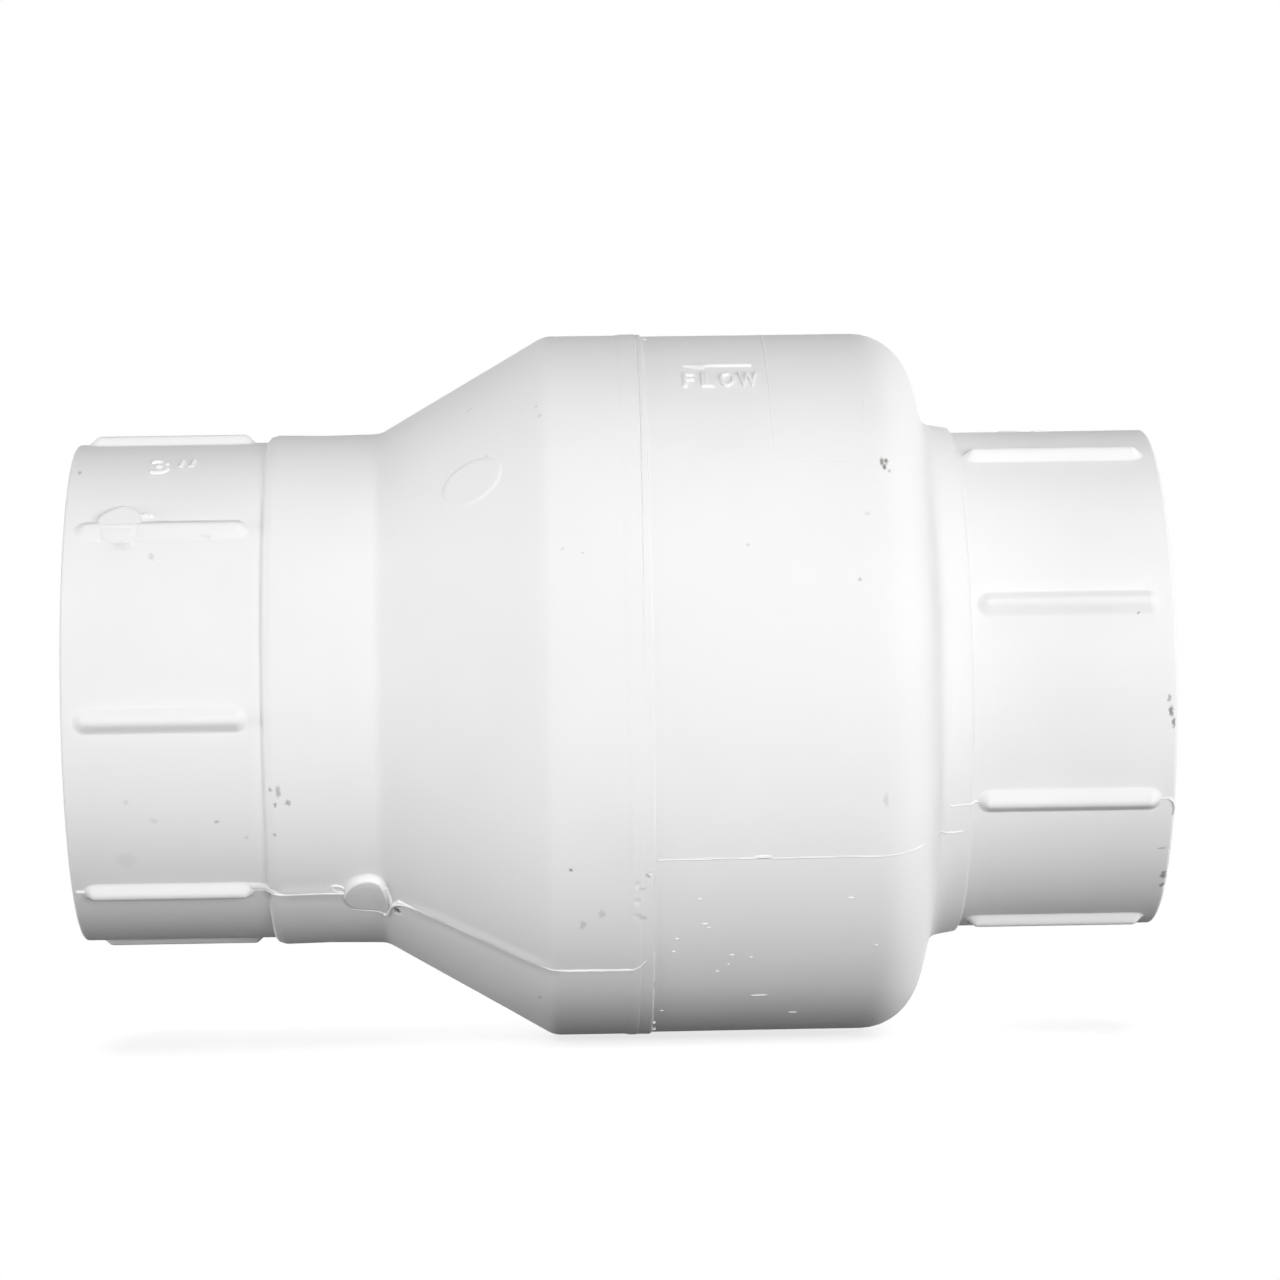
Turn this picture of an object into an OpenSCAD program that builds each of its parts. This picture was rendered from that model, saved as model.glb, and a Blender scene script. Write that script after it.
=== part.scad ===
// Spring non-return valve with a solvent socket at each end and two body halves spun together.
// The pipe runs along X: x = 0 is the outlet mouth, and liquid flows from the inlet towards -X.
// Profiles are drawn as [radius, distance from the outlet mouth] and revolved about the pipe axis.

/* [Pipe sockets] */
// Outside diameter of the pipe that the sockets take
pipe_d = 88.9; // [87:0.1:91]
// Wall of that pipe, which the ports are matched to
pipe_wall = 5.5; // [5:0.1:6]
// Difference in diameter between a socket and the pipe
socket_play = 0.1; // [0.1:0.05:0.5]
// Depth of each socket, from its mouth to its pipe stop
socket_depth = 47.6; // [42:0.1:56]
// Wall of each socket
socket_wall = 5.9; // [5.5:0.1:6.5]
// Rounding of the rim, inside and outside
rim_round = 0.4; // [0.2:0.1:0.8]
// Thickness of the stop that the outlet pipe butts against
stop_t = 4.4; // [3:0.1:8]

/* [Socket ribs] */
// Number of grip ribs around each socket
rib_count = 8; // [4:1:12]
// Width of a rib
rib_w = 4.2; // [3:0.1:6]
// Height of a rib above the socket
rib_h = 1.5; // [1:0.1:2]
// Bare length between a rib and the rim
rib_margin = 3.1; // [2:0.1:6]
// Bare length between a rib and the neck or collar
rib_gap = 3.2; // [2:0.1:6]
// Turn of the ribs on the outlet socket, below the front
outlet_rib_turn = 6; // [0:0.5:45]
// Turn of the ribs on the inlet socket, below the front
inlet_rib_turn = 28.4; // [0:0.1:45]

/* [Body shell] */
// Outside diameter of the valve chamber
body_d = 142.3; // [139:0.1:148]
// Wall of the chamber, the cone and the neck
shell_wall = 6.5; // [5.5:0.1:7]
// Height of the neck above the outlet socket
neck_step = 1.4; // [1:0.1:2]
// How far the neck slims at its waist
neck_waist = 0.2; // [0:0.1:0.6]
// Length of the neck
neck_len = 22.5; // [18:0.5:30]
// How far the outlet socket's bore reaches under the neck
neck_cover = 8.9; // [7.5:0.1:10]
// Slope of the cone, from the pipe axis
cone_angle = 30; // [27:0.5:33]
// Rounding between the cone and the chamber
cone_round = 5; // [3:0.5:8]
// Length of the chamber from the cone to the seam
outlet_drum = 19.4; // [17:0.1:24]
// Length of the chamber from the seam to the shoulder
inlet_drum = 43.2; // [40:0.1:47]
// Taper in radius of the inlet half from the seam inwards
drum_taper = 0.3; // [0:0.1:0.6]
// Rounding of the shoulder at the inlet end
shoulder_r = 12; // [9:0.5:14]
// Slope of the end wall, from square
end_slope = 14; // [10:1:18]
// Height of the collar where it meets the end wall
collar_h = 3.9; // [3:0.1:5]
// Length of the collar
collar_len = 5.9; // [4:0.1:7]
// Rounding of the collar's outer edge
collar_round = 1.2; // [0.8:0.1:1.6]
// How far the inlet socket's bore reaches under the collar
collar_cover = 7.7; // [6.5:0.1:9]

/* [Welded seam] */
// Length of the lap between the halves
lap_len = 8; // [6:0.5:12]
// Wall of the outlet half inside the lap
lap_wall = 3.3; // [2.6:0.1:4]
// Play around the lap, which the weld melts shut
lap_play = 0.05; // [0.05:0.01:0.1]
// Height of the band that the outlet half swells to beside the seam
band_h = 0.2; // [0:0.05:0.25]
// Width of that band
band_w = 4; // [3:0.5:6]
// Height of the bead that the weld pushes out
bead_h = 0.4; // [0.3:0.1:0.8]
// Width of that bead
bead_w = 0.9; // [0.6:0.1:1.6]

/* [Guide spider] */
// Length of the rim
rim_len = 10; // [8:0.5:12]
// Wall of the rim
rim_wall = 3; // [2.5:0.1:4]
// Play of the rim in the outlet half
rim_play = 0.1; // [0.05:0.01:0.2]
// Number of vanes
vane_count = 4; // [3:1:5]
// Thickness of a vane
vane_t = 4; // [3:0.5:5]
// Turn of the first vane, below the front
vane_turn = 45; // [0:0.5:90]
// Length of the hub behind its spring flange
hub_len = 18.5; // [16:0.5:20]
// Wall of the hub around its bush
hub_wall = 4.8; // [4:0.1:5]
// Thickness of the spring flange
flange_t = 3.5; // [2.5:0.5:5]
// Overhang of that flange beyond the spring
flange_lip = 3.4; // [2:0.1:5]
// Height of the spigot that centres the spring
spigot_h = 3; // [2:0.5:4]
// Distance from the rim's seat to the face of the spring flange
flange_offset = 3; // [1:0.5:5]

/* [Guide bush] */
// Wall of the bush
bush_wall = 2.45; // [2:0.05:2.8]
// Radial running clearance of the stem in the bush
stem_play = 0.05; // [0.02:0.01:0.09]
// Thickness of the bumper flange that the lock nut lands on
bumper_t = 2; // [1.5:0.5:3]
// Overhang of that flange beyond the sleeve
bumper_lip = 3; // [2:0.5:4]

/* [Closing spring] */
// Wire thickness
wire_d = 2; // [1.6:0.1:2.4]
// Mean diameter of the coil
coil_d = 28; // [27.4:0.1:30]
// Number of turns, the two dead end turns included
coil_turns = 7.5; // [6:0.5:8]
// Thickness of the washer under the spring
seat_washer_t = 1.2; // [0.8:0.1:2]
// Radial play of the spring on the spigot and on the poppet's boss
coil_play = 0.6; // [0.4:0.1:1]

/* [Poppet] */
// Travel from shut to fully open
lift = 21; // [16:0.5:24]
// How far the disc overlaps the port all round
disc_overlap = 7.5; // [6:0.5:9]
// Thickness of the disc's web
web_t = 6; // [5:0.5:8]
// Thickness of the seal ring
seal_t = 4; // [3:0.5:5]
// Width of the seal ring that the retainer holds down
seal_grip = 3.8; // [3:0.1:5]
// Play of the seal ring in its recess
seal_play = 0.2; // [0.1:0.05:0.3]
// Wall of the disc outside the seal ring
disc_lip = 1.3; // [1:0.1:2]
// How far the seal ring stands out of the disc
seal_proud = 1.5; // [1:0.1:2]
// Number of stiffening ribs behind the disc
disc_ribs = 8; // [6:1:12]
// Height of those ribs beside the spring
disc_rib_h = 5; // [3:0.5:6]
// Thickness of those ribs
disc_rib_t = 3; // [2:0.5:4]
// Width of the seat's land
land_w = 2.5; // [2:0.1:3.5]
// How much wider the seat is at its foot than at its land
seat_foot = 5; // [3:0.5:6]
// Thickness of the seal retainer at its middle
retainer_t = 4.5; // [3.5:0.5:6]
// Thickness of the seal retainer at its rim
retainer_rim = 2; // [1.5:0.5:3]
// Gap between the retainer and the port
retainer_gap = 4; // [3:0.1:5]

/* [Stem] */
// Diameter of the stem in the bush
stem_d = 10; // [9:0.5:10]
// Diameter of the stem's threaded shank
shank_d = 12; // [11.5:0.5:12]
// Hexagon size of the bolt head and of the lock nut
hex_af = 18; // [17:0.5:19]
// Height of the bolt head
head_h = 7.5; // [6:0.5:8]
// Height of the lock nut
nut_h = 10; // [7:0.5:11]
// Thickness of the washers under the head and the nut
washer_t = 2.5; // [2:0.5:3]
// Diameter of those washers
washer_d = 24; // [22:0.5:24]
// Play of the shank in the parts that it clamps
shank_play = 0.1; // [0.05:0.05:0.2]
// Thickness of the sealing ring around the shank
o_ring_d = 2.5; // [2:0.1:3]
// Distance that the head stays back from the inlet pipe stop
nose_gap = 0.7; // [0.5:0.1:2]
// Length of the stem that stands out of the hub when the valve is shut
tail = 6; // [4:0.5:8]

/* [Hidden] */
$fn = 96;

// Steps along a drawn arc, a curved edge and one turn of the spring
arc_steps = 8;
bend_steps = 6;
turn_steps = 20;
wire_sides = 8;
// Distance that a cutting or joining solid reaches past a face
over = 1;
// Gap left where a coil lies against a flat face or another coil
coil_gap = 0.03;
dead_pitch = wire_d + 4 * coil_gap;
// Gap at the fully open stop, and at the end of the welded lap
stop_gap = 0.1;
// Bevel of moulded and turned edges, of a washer's edges, and of a hexagon's corners
edge_bevel = 0.5;
burr = 0.2;
hex_inset = 0.2;
hex_chamfer = 30;

// Radii
socket_r = (pipe_d + socket_play) / 2;
socket_out_r = socket_r + socket_wall;
port_r = pipe_d / 2 - pipe_wall;
neck_r = socket_out_r + neck_step;
body_r = body_d / 2;
chamber_r = body_r - shell_wall - rim_play;
lap_r = chamber_r + lap_wall;
seat_out_r = port_r + land_w;
rim_r = chamber_r - rim_play;
rim_in_r = rim_r - rim_wall;
bush_r = stem_d / 2 + stem_play + bush_wall;
hub_r = bush_r + hub_wall;
flange_r = (coil_d + wire_d) / 2 + flange_lip;
boss_r = (coil_d - wire_d) / 2 - coil_play;
disc_r = port_r + disc_overlap;
seal_out_r = disc_r - disc_lip - seal_play;
retainer_r = port_r - retainer_gap;
seal_in_r = retainer_r - seal_grip;
shank_hole_r = shank_d / 2 + shank_play;
o_ring_r = (shank_d + o_ring_d) / 2 + shank_play;
hex_r = hex_af / sqrt(3);

// Stations along the pipe axis, from the outlet mouth
neck_z = socket_depth - neck_cover;
cone_z = neck_z + neck_len;
drum_z = cone_z + (body_r - neck_r) / tan(cone_angle);
seam_z = drum_z + outlet_drum;
shoulder_z = seam_z + inlet_drum;
end_arc = 90 - end_slope;
shoulder_axis_r = body_r - drum_taper - shoulder_r;
wall_top_r = shoulder_axis_r + shoulder_r * sin(end_slope);
wall_top_z = shoulder_z + shoulder_r * cos(end_slope);
collar_r = socket_out_r + collar_h;
collar_z = wall_top_z + (wall_top_r - collar_r) * tan(end_slope);
barrel_z = collar_z + collar_len;
inlet_stop_z = barrel_z - collar_cover;
length = inlet_stop_z + socket_depth;

// Stations inside, worked out from the inlet pipe stop and from the seat of the spider's rim
seat_z = inlet_stop_z - nose_gap - head_h - washer_t - retainer_t;
recess_z = seat_z - seal_t;
disc_back_z = recess_z - web_t;
rim_z = drum_z;
flange_z = rim_z + flange_offset;
hub_z = flange_z - flange_t - hub_len;
spigot_z = flange_z + spigot_h;
bumper_z = spigot_z + bumper_t;
nut_z = bumper_z + stop_gap + lift;
boss_z = nut_z + nut_h + washer_t;
spring_z = flange_z + seat_washer_t;
spring_len = disc_back_z - spring_z;
tail_z = hub_z - tail;

// Points along an arc, from one angle to another
function arc(r, z, radius, from, to) =
    [for (i = [0 : arc_steps])
        let (a = from + (to - from) * i / arc_steps) [r + radius * cos(a), z + radius * sin(a)]];

// Points along a curve that leaves a towards b and ends at c
function bend(a, b, c) =
    [for (i = [0 : bend_steps])
        let (t = i / bend_steps) a * (1 - t) * (1 - t) + b * 2 * t * (1 - t) + c * t * t];

// Lays what is drawn along Z on the pipe axis, so that the front of the valve faces -Y
module along_pipe() {
    rotate([0, 90, 0]) children();
}

module revolve(points) {
    rotate_extrude() polygon(points);
}

// Repeats a piece around the pipe axis, the first one a number of degrees below the front
module around(count, turn) {
    for (i = [0 : count - 1]) rotate([0, 0, turn - 90 + i * 360 / count]) children();
}

// A grip rib with round ends, from inside the socket's wall outwards
module rib(from, to) {
    translate([socket_out_r - socket_wall / 2, 0, from + rib_w / 2])
        rotate([0, 90, 0])
            linear_extrude(socket_wall / 2 + rib_h) {
                run = to - from - rib_w;
                circle(d = rib_w);
                translate([-run, 0]) circle(d = rib_w);
                translate([-run, -rib_w / 2]) square([run, rib_w]);
            }
}

// A hexagon with its corners chamfered at both ends
module hex(height) {
    face_r = hex_af / 2 - hex_inset;
    bevel = (hex_r - face_r) * tan(hex_chamfer);
    intersection() {
        cylinder(r = hex_r, h = height, $fn = 6);
        revolve([
            [0, 0], [face_r, 0], [hex_r, bevel], [hex_r, height - bevel], [face_r, height], [0, height],
        ]);
    }
}

module washer(inner_r, outer_r, thickness, z) {
    translate([0, 0, z]) revolve([
        [inner_r, 0], [outer_r - burr, 0], [outer_r, burr], [outer_r, thickness - burr],
        [outer_r - burr, thickness], [inner_r, thickness],
    ]);
}

// The outlet half: socket, neck, cone and half of the chamber, with the tongue of the welded lap
module outlet_body() {
    foot = 1.6;
    inner_drop = shell_wall / cos(cone_angle);
    neck_in_r = neck_r - shell_wall;
    cone_in_z = cone_z + (neck_in_r + inner_drop - neck_r) / tan(cone_angle);
    land_z = cone_z + (rim_in_r + inner_drop - neck_r) / tan(cone_angle);
    blend = cone_round * tan(cone_angle / 2);
    band_z = seam_z - band_w;
    color("white") along_pipe() {
        revolve(concat(
            [[socket_r + rim_round, 0], [socket_out_r - rim_round, 0], [socket_out_r, rim_round]],
            arc(socket_out_r, neck_z + neck_step, neck_step, -90, 0),
            [[neck_r - neck_waist, neck_z + neck_len / 2]],
            bend([neck_r - neck_waist / 2, cone_z - foot], [neck_r, cone_z],
                 [neck_r + foot * sin(cone_angle), cone_z + foot * cos(cone_angle)]),
            arc(body_r - cone_round, drum_z + blend, cone_round, -cone_angle, 0),
            [[body_r, band_z - band_w], [body_r + band_h, band_z], [body_r + band_h, seam_z - bead_w],
             [body_r + bead_h, seam_z - bead_w / 2], [body_r + band_h, seam_z],
             [lap_r, seam_z], [lap_r, seam_z + lap_len - edge_bevel],
             [lap_r - edge_bevel, seam_z + lap_len], [chamber_r, seam_z + lap_len], [chamber_r, rim_z],
             [rim_in_r, rim_z], [rim_in_r, land_z], [neck_in_r, cone_in_z],
             [neck_in_r, socket_depth + stop_t],
             [port_r, socket_depth + stop_t], [port_r, socket_depth], [socket_r, socket_depth],
             [socket_r, rim_round]]
        ));
        around(rib_count, outlet_rib_turn) rib(rib_margin, neck_z - rib_gap);
    }
}

// The inlet half: the rest of the chamber, the rounded shoulder, the seat around the port and the socket
module inlet_body() {
    inner_r = shoulder_r - shell_wall;
    lap_end_z = seam_z + lap_len + stop_gap;
    face_z = shoulder_z + inner_r * cos(end_slope);
    face_top_r = shoulder_axis_r + inner_r * sin(end_slope);
    seat_base_r = seat_out_r + seat_foot;
    face_end_z = face_z + (face_top_r - seat_base_r) * tan(end_slope / 2);
    drum_in_r = shoulder_axis_r + inner_r;
    edge_z = barrel_z - collar_round;
    color("white") along_pipe() {
        revolve(concat(
            [[lap_r + lap_play, seam_z], [body_r - edge_bevel / 2, seam_z],
             [body_r - drum_taper, seam_z + inlet_drum / 2]],
            arc(shoulder_axis_r, shoulder_z, shoulder_r, 0, end_arc),
            bend([collar_r, collar_z], [socket_out_r + collar_round, collar_z + collar_round],
                 [socket_out_r + collar_round, edge_z]),
            arc(socket_out_r, edge_z, collar_round, 0, 90),
            [[socket_out_r, barrel_z], [socket_out_r, length - rim_round], [socket_out_r - rim_round, length],
             [socket_r + rim_round, length], [socket_r, length - rim_round], [socket_r, inlet_stop_z],
             [port_r, inlet_stop_z], [port_r, seat_z], [seat_out_r, seat_z],
             [seat_base_r, face_end_z]],
            arc(shoulder_axis_r, shoulder_z, inner_r, end_arc, 0),
            [[drum_in_r, lap_end_z], [lap_r + lap_play, lap_end_z]]
        ));
        around(rib_count, inlet_rib_turn) rib(barrel_z + rib_gap / 2, length - rib_margin);
    }
}

// The guide for the stem: a rim that seats in the outlet half, vanes and a hub with a flange for the spring
module guide_spider() {
    nose = 3;
    vane_foot = hub_r - over;
    vane_tip = rim_in_r + rim_wall / 2;
    rear_z = hub_z + nose;
    front_z = flange_z - flange_t / 2;
    neck_under_flange = 2;
    color("white") along_pipe() difference() {
        union() {
            revolve([
                [rim_in_r, rim_z + edge_bevel], [rim_in_r + edge_bevel, rim_z], [rim_r, rim_z],
                [rim_r, rim_z + rim_len], [rim_in_r + edge_bevel, rim_z + rim_len],
                [rim_in_r, rim_z + rim_len - edge_bevel],
            ]);
            revolve(concat(
                [[0, hub_z]],
                bend([hub_r - nose, hub_z], [hub_r, hub_z], [hub_r, rear_z]),
                [[hub_r, flange_z - flange_t - neck_under_flange],
                 [hub_r + neck_under_flange, flange_z - flange_t],
                 [flange_r, flange_z - flange_t], [flange_r, flange_z], [boss_r, flange_z],
                 [boss_r, spigot_z - edge_bevel], [boss_r - edge_bevel, spigot_z], [0, spigot_z]]
            ));
            around(vane_count, vane_turn) rotate([90, 0, 0]) linear_extrude(vane_t, center = true)
                polygon(concat(
                    bend([vane_foot, rear_z], [vane_tip / 2, rear_z],
                         [rim_in_r - rim_play, rim_z + edge_bevel]),
                    [[vane_tip, rim_z + edge_bevel]],
                    bend([vane_tip, rim_z + rim_len - edge_bevel], [vane_tip / 2, front_z],
                         [vane_foot, front_z])
                ));
        }
        translate([0, 0, hub_z - over]) cylinder(r = bush_r, h = spigot_z - hub_z + 2 * over);
    }
}

// The stem's bearing, pressed into the hub, with a flange that the lock nut lands on when the valve is open
module guide_bush() {
    bore_r = stem_d / 2 + stem_play;
    color("ivory") along_pipe() revolve([
        [bore_r + edge_bevel, hub_z], [bush_r, hub_z], [bush_r, spigot_z], [bush_r + bumper_lip, spigot_z],
        [bush_r + bumper_lip, bumper_z], [bore_r + edge_bevel, bumper_z], [bore_r, bumper_z - edge_bevel],
        [bore_r, hub_z + edge_bevel],
    ]);
}

module spring_seat_washer() {
    color("silver") along_pipe() washer(boss_r + shank_play, flange_r, seat_washer_t, flange_z);
}

// Height of the wire's middle above the spring's foot after a number of turns
function coil_z(turn) =
    let (pitch = (spring_len - wire_d - 2 * coil_gap - 2 * dead_pitch) / (coil_turns - 2))
    coil_gap + wire_d / 2 + dead_pitch * min(turn, 1) + pitch * max(0, min(turn, coil_turns - 1) - 1)
    + dead_pitch * max(0, turn - coil_turns + 1);

// The compression spring, with a dead turn at each end
module closing_spring() {
    rings = ceil(coil_turns * turn_steps);
    points = [
        for (i = [0 : rings], k = [0 : wire_sides - 1])
            let (turn = coil_turns * i / rings, side = 360 * k / wire_sides,
                 r = coil_d / 2 + wire_d / 2 * cos(side))
            [r * cos(360 * turn), r * sin(360 * turn), spring_z + coil_z(turn) + wire_d / 2 * sin(side)]
    ];
    sides = [
        for (i = [0 : rings - 1], k = [0 : wire_sides - 1])
            let (a = i * wire_sides + k, b = i * wire_sides + (k + 1) % wire_sides)
            each [[a, b, b + wire_sides], [a, b + wire_sides, a + wire_sides]]
    ];
    foot = [for (k = [wire_sides - 1 : -1 : 0]) k];
    top = [for (k = [0 : wire_sides - 1]) rings * wire_sides + k];
    color("silver") along_pipe() polyhedron(points, concat(sides, [foot, top]));
}

// The poppet: a disc with a recess for the seal, a boss that centres the spring, and ribs behind
module poppet_disc() {
    rib_in_r = (coil_d + wire_d) / 2 + coil_play;
    rib_out_r = disc_r - disc_rib_t;
    pocket_r = o_ring_r + o_ring_d / 2 + shank_play;
    pocket_z = seat_z - o_ring_d - 2 * shank_play;
    lip_z = seat_z - seal_proud;
    color("dimgray") along_pipe() {
        revolve([
            [shank_hole_r, boss_z], [boss_r - edge_bevel, boss_z], [boss_r, boss_z + edge_bevel],
            [boss_r, disc_back_z], [disc_r - 2 * edge_bevel, disc_back_z],
            [disc_r, disc_back_z + 2 * edge_bevel],
            [disc_r, lip_z - edge_bevel], [disc_r - edge_bevel, lip_z], [disc_r - disc_lip, lip_z],
            [disc_r - disc_lip, recess_z], [seal_in_r - seal_play, recess_z], [seal_in_r - seal_play, seat_z],
            [pocket_r, seat_z], [pocket_r, pocket_z], [shank_hole_r, pocket_z],
        ]);
        around(disc_ribs, 0) rotate([90, 0, 0]) linear_extrude(disc_rib_t, center = true)
            polygon(concat(
                [[rib_in_r, disc_back_z + over]],
                bend([rib_in_r, disc_back_z - disc_rib_h],
                     [(rib_in_r + rib_out_r) / 2, disc_back_z - disc_rib_h], [rib_out_r, disc_back_z]),
                [[rib_out_r, disc_back_z + over]]
            ));
    }
}

module seat_seal() {
    color("black") along_pipe() revolve([
        [seal_in_r, recess_z], [seal_out_r, recess_z], [seal_out_r, seat_z], [seal_in_r, seat_z],
    ]);
}

// The dished plate that clamps the seal's inner edge on the disc
module seal_retainer() {
    color("dimgray") along_pipe() revolve(concat(
        [[shank_hole_r, seat_z]],
        arc(retainer_r - retainer_rim, seat_z, retainer_rim, 0, 90),
        bend([retainer_r - 2 * retainer_rim, seat_z + retainer_rim],
             [(retainer_r + washer_d / 2) / 2, seat_z + retainer_t],
             [washer_d / 2 + over, seat_z + retainer_t]),
        [[shank_hole_r, seat_z + retainer_t]]
    ));
}

// The stem: a hexagon bolt whose shank clamps the poppet and whose thinner tail slides in the bush
module stem_bolt() {
    head_z = seat_z + retainer_t + washer_t;
    tip = 1;
    color("silver") along_pipe() {
        revolve([
            [0, tail_z], [stem_d / 2 - tip, tail_z], [stem_d / 2, tail_z + tip], [stem_d / 2, nut_z],
            [shank_d / 2, nut_z], [shank_d / 2, head_z + over], [0, head_z + over],
        ]);
        translate([0, 0, head_z]) hex(head_h);
    }
}

// The small sealing ring around the shank, behind the retainer
module stem_o_ring() {
    color("black") along_pipe() translate([0, 0, seat_z - o_ring_d / 2 - shank_play])
        rotate_extrude() translate([o_ring_r, 0]) circle(d = o_ring_d);
}

module head_washer() {
    color("silver") along_pipe() washer(shank_hole_r, washer_d / 2, washer_t, seat_z + retainer_t);
}

module nut_washer() {
    color("silver") along_pipe() washer(shank_hole_r, washer_d / 2, washer_t, nut_z + nut_h);
}

// The nut that clamps the poppet against the head and stops its travel against the bush
module lock_nut() {
    color("silver") along_pipe() difference() {
        translate([0, 0, nut_z]) hex(nut_h);
        translate([0, 0, nut_z - over]) cylinder(d = shank_d, h = nut_h + 2 * over);
    }
}

outlet_body();
inlet_body();
guide_spider();
guide_bush();
spring_seat_washer();
closing_spring();
poppet_disc();
seat_seal();
seal_retainer();
stem_bolt();
stem_o_ring();
head_washer();
nut_washer();
lock_nut();
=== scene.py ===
"""Dresses the spring non-return valve.

The two body halves get smooth turned shells with the ribs, parting lines, weld flash, gate scar and raised
marks that the mould leaves on them. The inner pieces keep their own forms and get their finishes, and the
closing spring becomes a smooth wire. Lengths are in millimetres from the outlet mouth, and turns are in
degrees below the front of the valve, until a mesh is made in metres.
"""

import logging
import math
from collections.abc import Iterable, Sequence
from dataclasses import dataclass, field
from enum import Enum

import bpy
import numpy as np
from mathutils import Matrix, Vector


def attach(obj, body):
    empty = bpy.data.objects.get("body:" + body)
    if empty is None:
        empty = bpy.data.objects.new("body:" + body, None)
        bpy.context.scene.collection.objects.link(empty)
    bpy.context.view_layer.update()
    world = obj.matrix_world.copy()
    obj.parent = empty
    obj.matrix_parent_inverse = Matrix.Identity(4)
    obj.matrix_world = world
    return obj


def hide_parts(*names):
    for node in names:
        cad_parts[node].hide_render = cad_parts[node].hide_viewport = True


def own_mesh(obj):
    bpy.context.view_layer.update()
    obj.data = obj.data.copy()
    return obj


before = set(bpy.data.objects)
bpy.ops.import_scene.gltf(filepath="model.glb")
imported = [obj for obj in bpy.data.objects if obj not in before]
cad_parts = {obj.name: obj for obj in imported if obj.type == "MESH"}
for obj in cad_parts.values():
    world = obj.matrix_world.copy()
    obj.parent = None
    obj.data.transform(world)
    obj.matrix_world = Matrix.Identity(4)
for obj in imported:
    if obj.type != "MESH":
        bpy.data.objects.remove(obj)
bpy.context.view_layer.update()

LOG = logging.getLogger("valve")
MM = 0.001
BODY = "valve_body"
SHELL_SLOT = "shell_plastic"
SHOWING_RAYS = ("Camera", "Glossy", "Transmission")

EASE_SHARE = 0.48  # of a side, the most that one rounding may take
EASE_STEP = 9.0  # degrees that one side of a rounding turns
STRAIGHT = 0.01  # radians below which a corner stays as it is

Colour = tuple[float, float, float]
Shape = tuple[np.ndarray, list[tuple[int, ...]]]


# Sizes


@dataclass(frozen=True)
class ValveSizes:
    """The sizes that several pieces share, in millimetres from the outlet mouth.

    Attributes:
        length: The whole length.
        socket_r: The sockets' inner radius.
        socket_out_r: Their outer radius.
        socket_depth: Their depth.
        stop_t: How thick the outlet pipe's stop is.
        port_r: The inner radius of both stops.
        neck_x: Where the neck starts.
        neck_r: Its radius.
        neck_waist: How much thinner it is at its middle.
        cone_x: Where the cone starts.
        cone_angle: How far it leans from the pipe axis, in degrees.
        drum_x: Where the drum starts.
        body_r: Its radius.
        shell_wall: The body's thickness.
        seam_x: Where the two halves meet.
        band_width: How wide the band beside the seam is.
        band_height: How far it stands out.
        groove: How far before the seam the groove in the band starts, is deepest and ends.
        groove_depth: The groove's depth.
        lip_drop: How far the band's edge beyond the groove lies below its top.
        shoulder_x: Where the shoulder starts to round.
        shoulder_round: Its radius.
        end_shift: How much nearer the seam the end wall stands than in the solid.
        collar_rise: How much wider the collar is at its foot than in the solid.
        collar_fall: How much narrower it is at the barrel.
        end_slope: How far the end wall leans, in degrees.
        face_slope: How far its inner face leans, in degrees.
        drum_taper: How much the inlet half's drum narrows towards the shoulder.
        barrel_x: Where the inlet socket's barrel starts.
        collar_r: The collar's radius in the solid.
        seat_x: Where the seat's face stands.
        lap_r: The radius at which the halves overlap.
        lap_len: How far they do.
        seam_ledge: How far above the lap the two skins meet.
        chamber_r: The outlet half's inner radius at the drum.
        rim_in_r: The inner radius of the ledge that carries the spider.
    """

    length: float = 216.616
    socket_r: float = 44.5
    socket_out_r: float = 50.4
    socket_depth: float = 47.6
    stop_t: float = 4.4
    port_r: float = 38.95
    neck_x: float = 38.7
    neck_r: float = 51.8
    neck_waist: float = 0.2
    cone_x: float = 61.2
    cone_angle: float = 30.0
    drum_x: float = 94.715
    body_r: float = 71.15
    shell_wall: float = 6.5
    seam_x: float = 114.115
    band_width: float = 4.0
    band_height: float = 0.2
    groove: tuple[float, float, float] = (2.0, 1.85, 1.65)
    groove_depth: float = 0.26
    lip_drop: float = 0.10
    shoulder_x: float = 157.315
    shoulder_round: float = 12.0
    end_shift: float = 0.7
    collar_rise: float = 0.8
    collar_fall: float = 0.2
    end_slope: float = 14.0
    face_slope: float = 7.0
    drum_taper: float = 0.3
    barrel_x: float = 176.716
    collar_r: float = 51.6
    seat_x: float = 153.816
    lap_r: float = 67.85
    lap_len: float = 8.0
    seam_ledge: float = 1.0
    chamber_r: float = 64.55
    rim_in_r: float = 61.45

    @property
    def inlet_stop_x(self) -> float:
        """Where the inlet pipe butts."""
        return self.length - self.socket_depth


VALVE = ValveSizes()


# Shader maths


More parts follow.
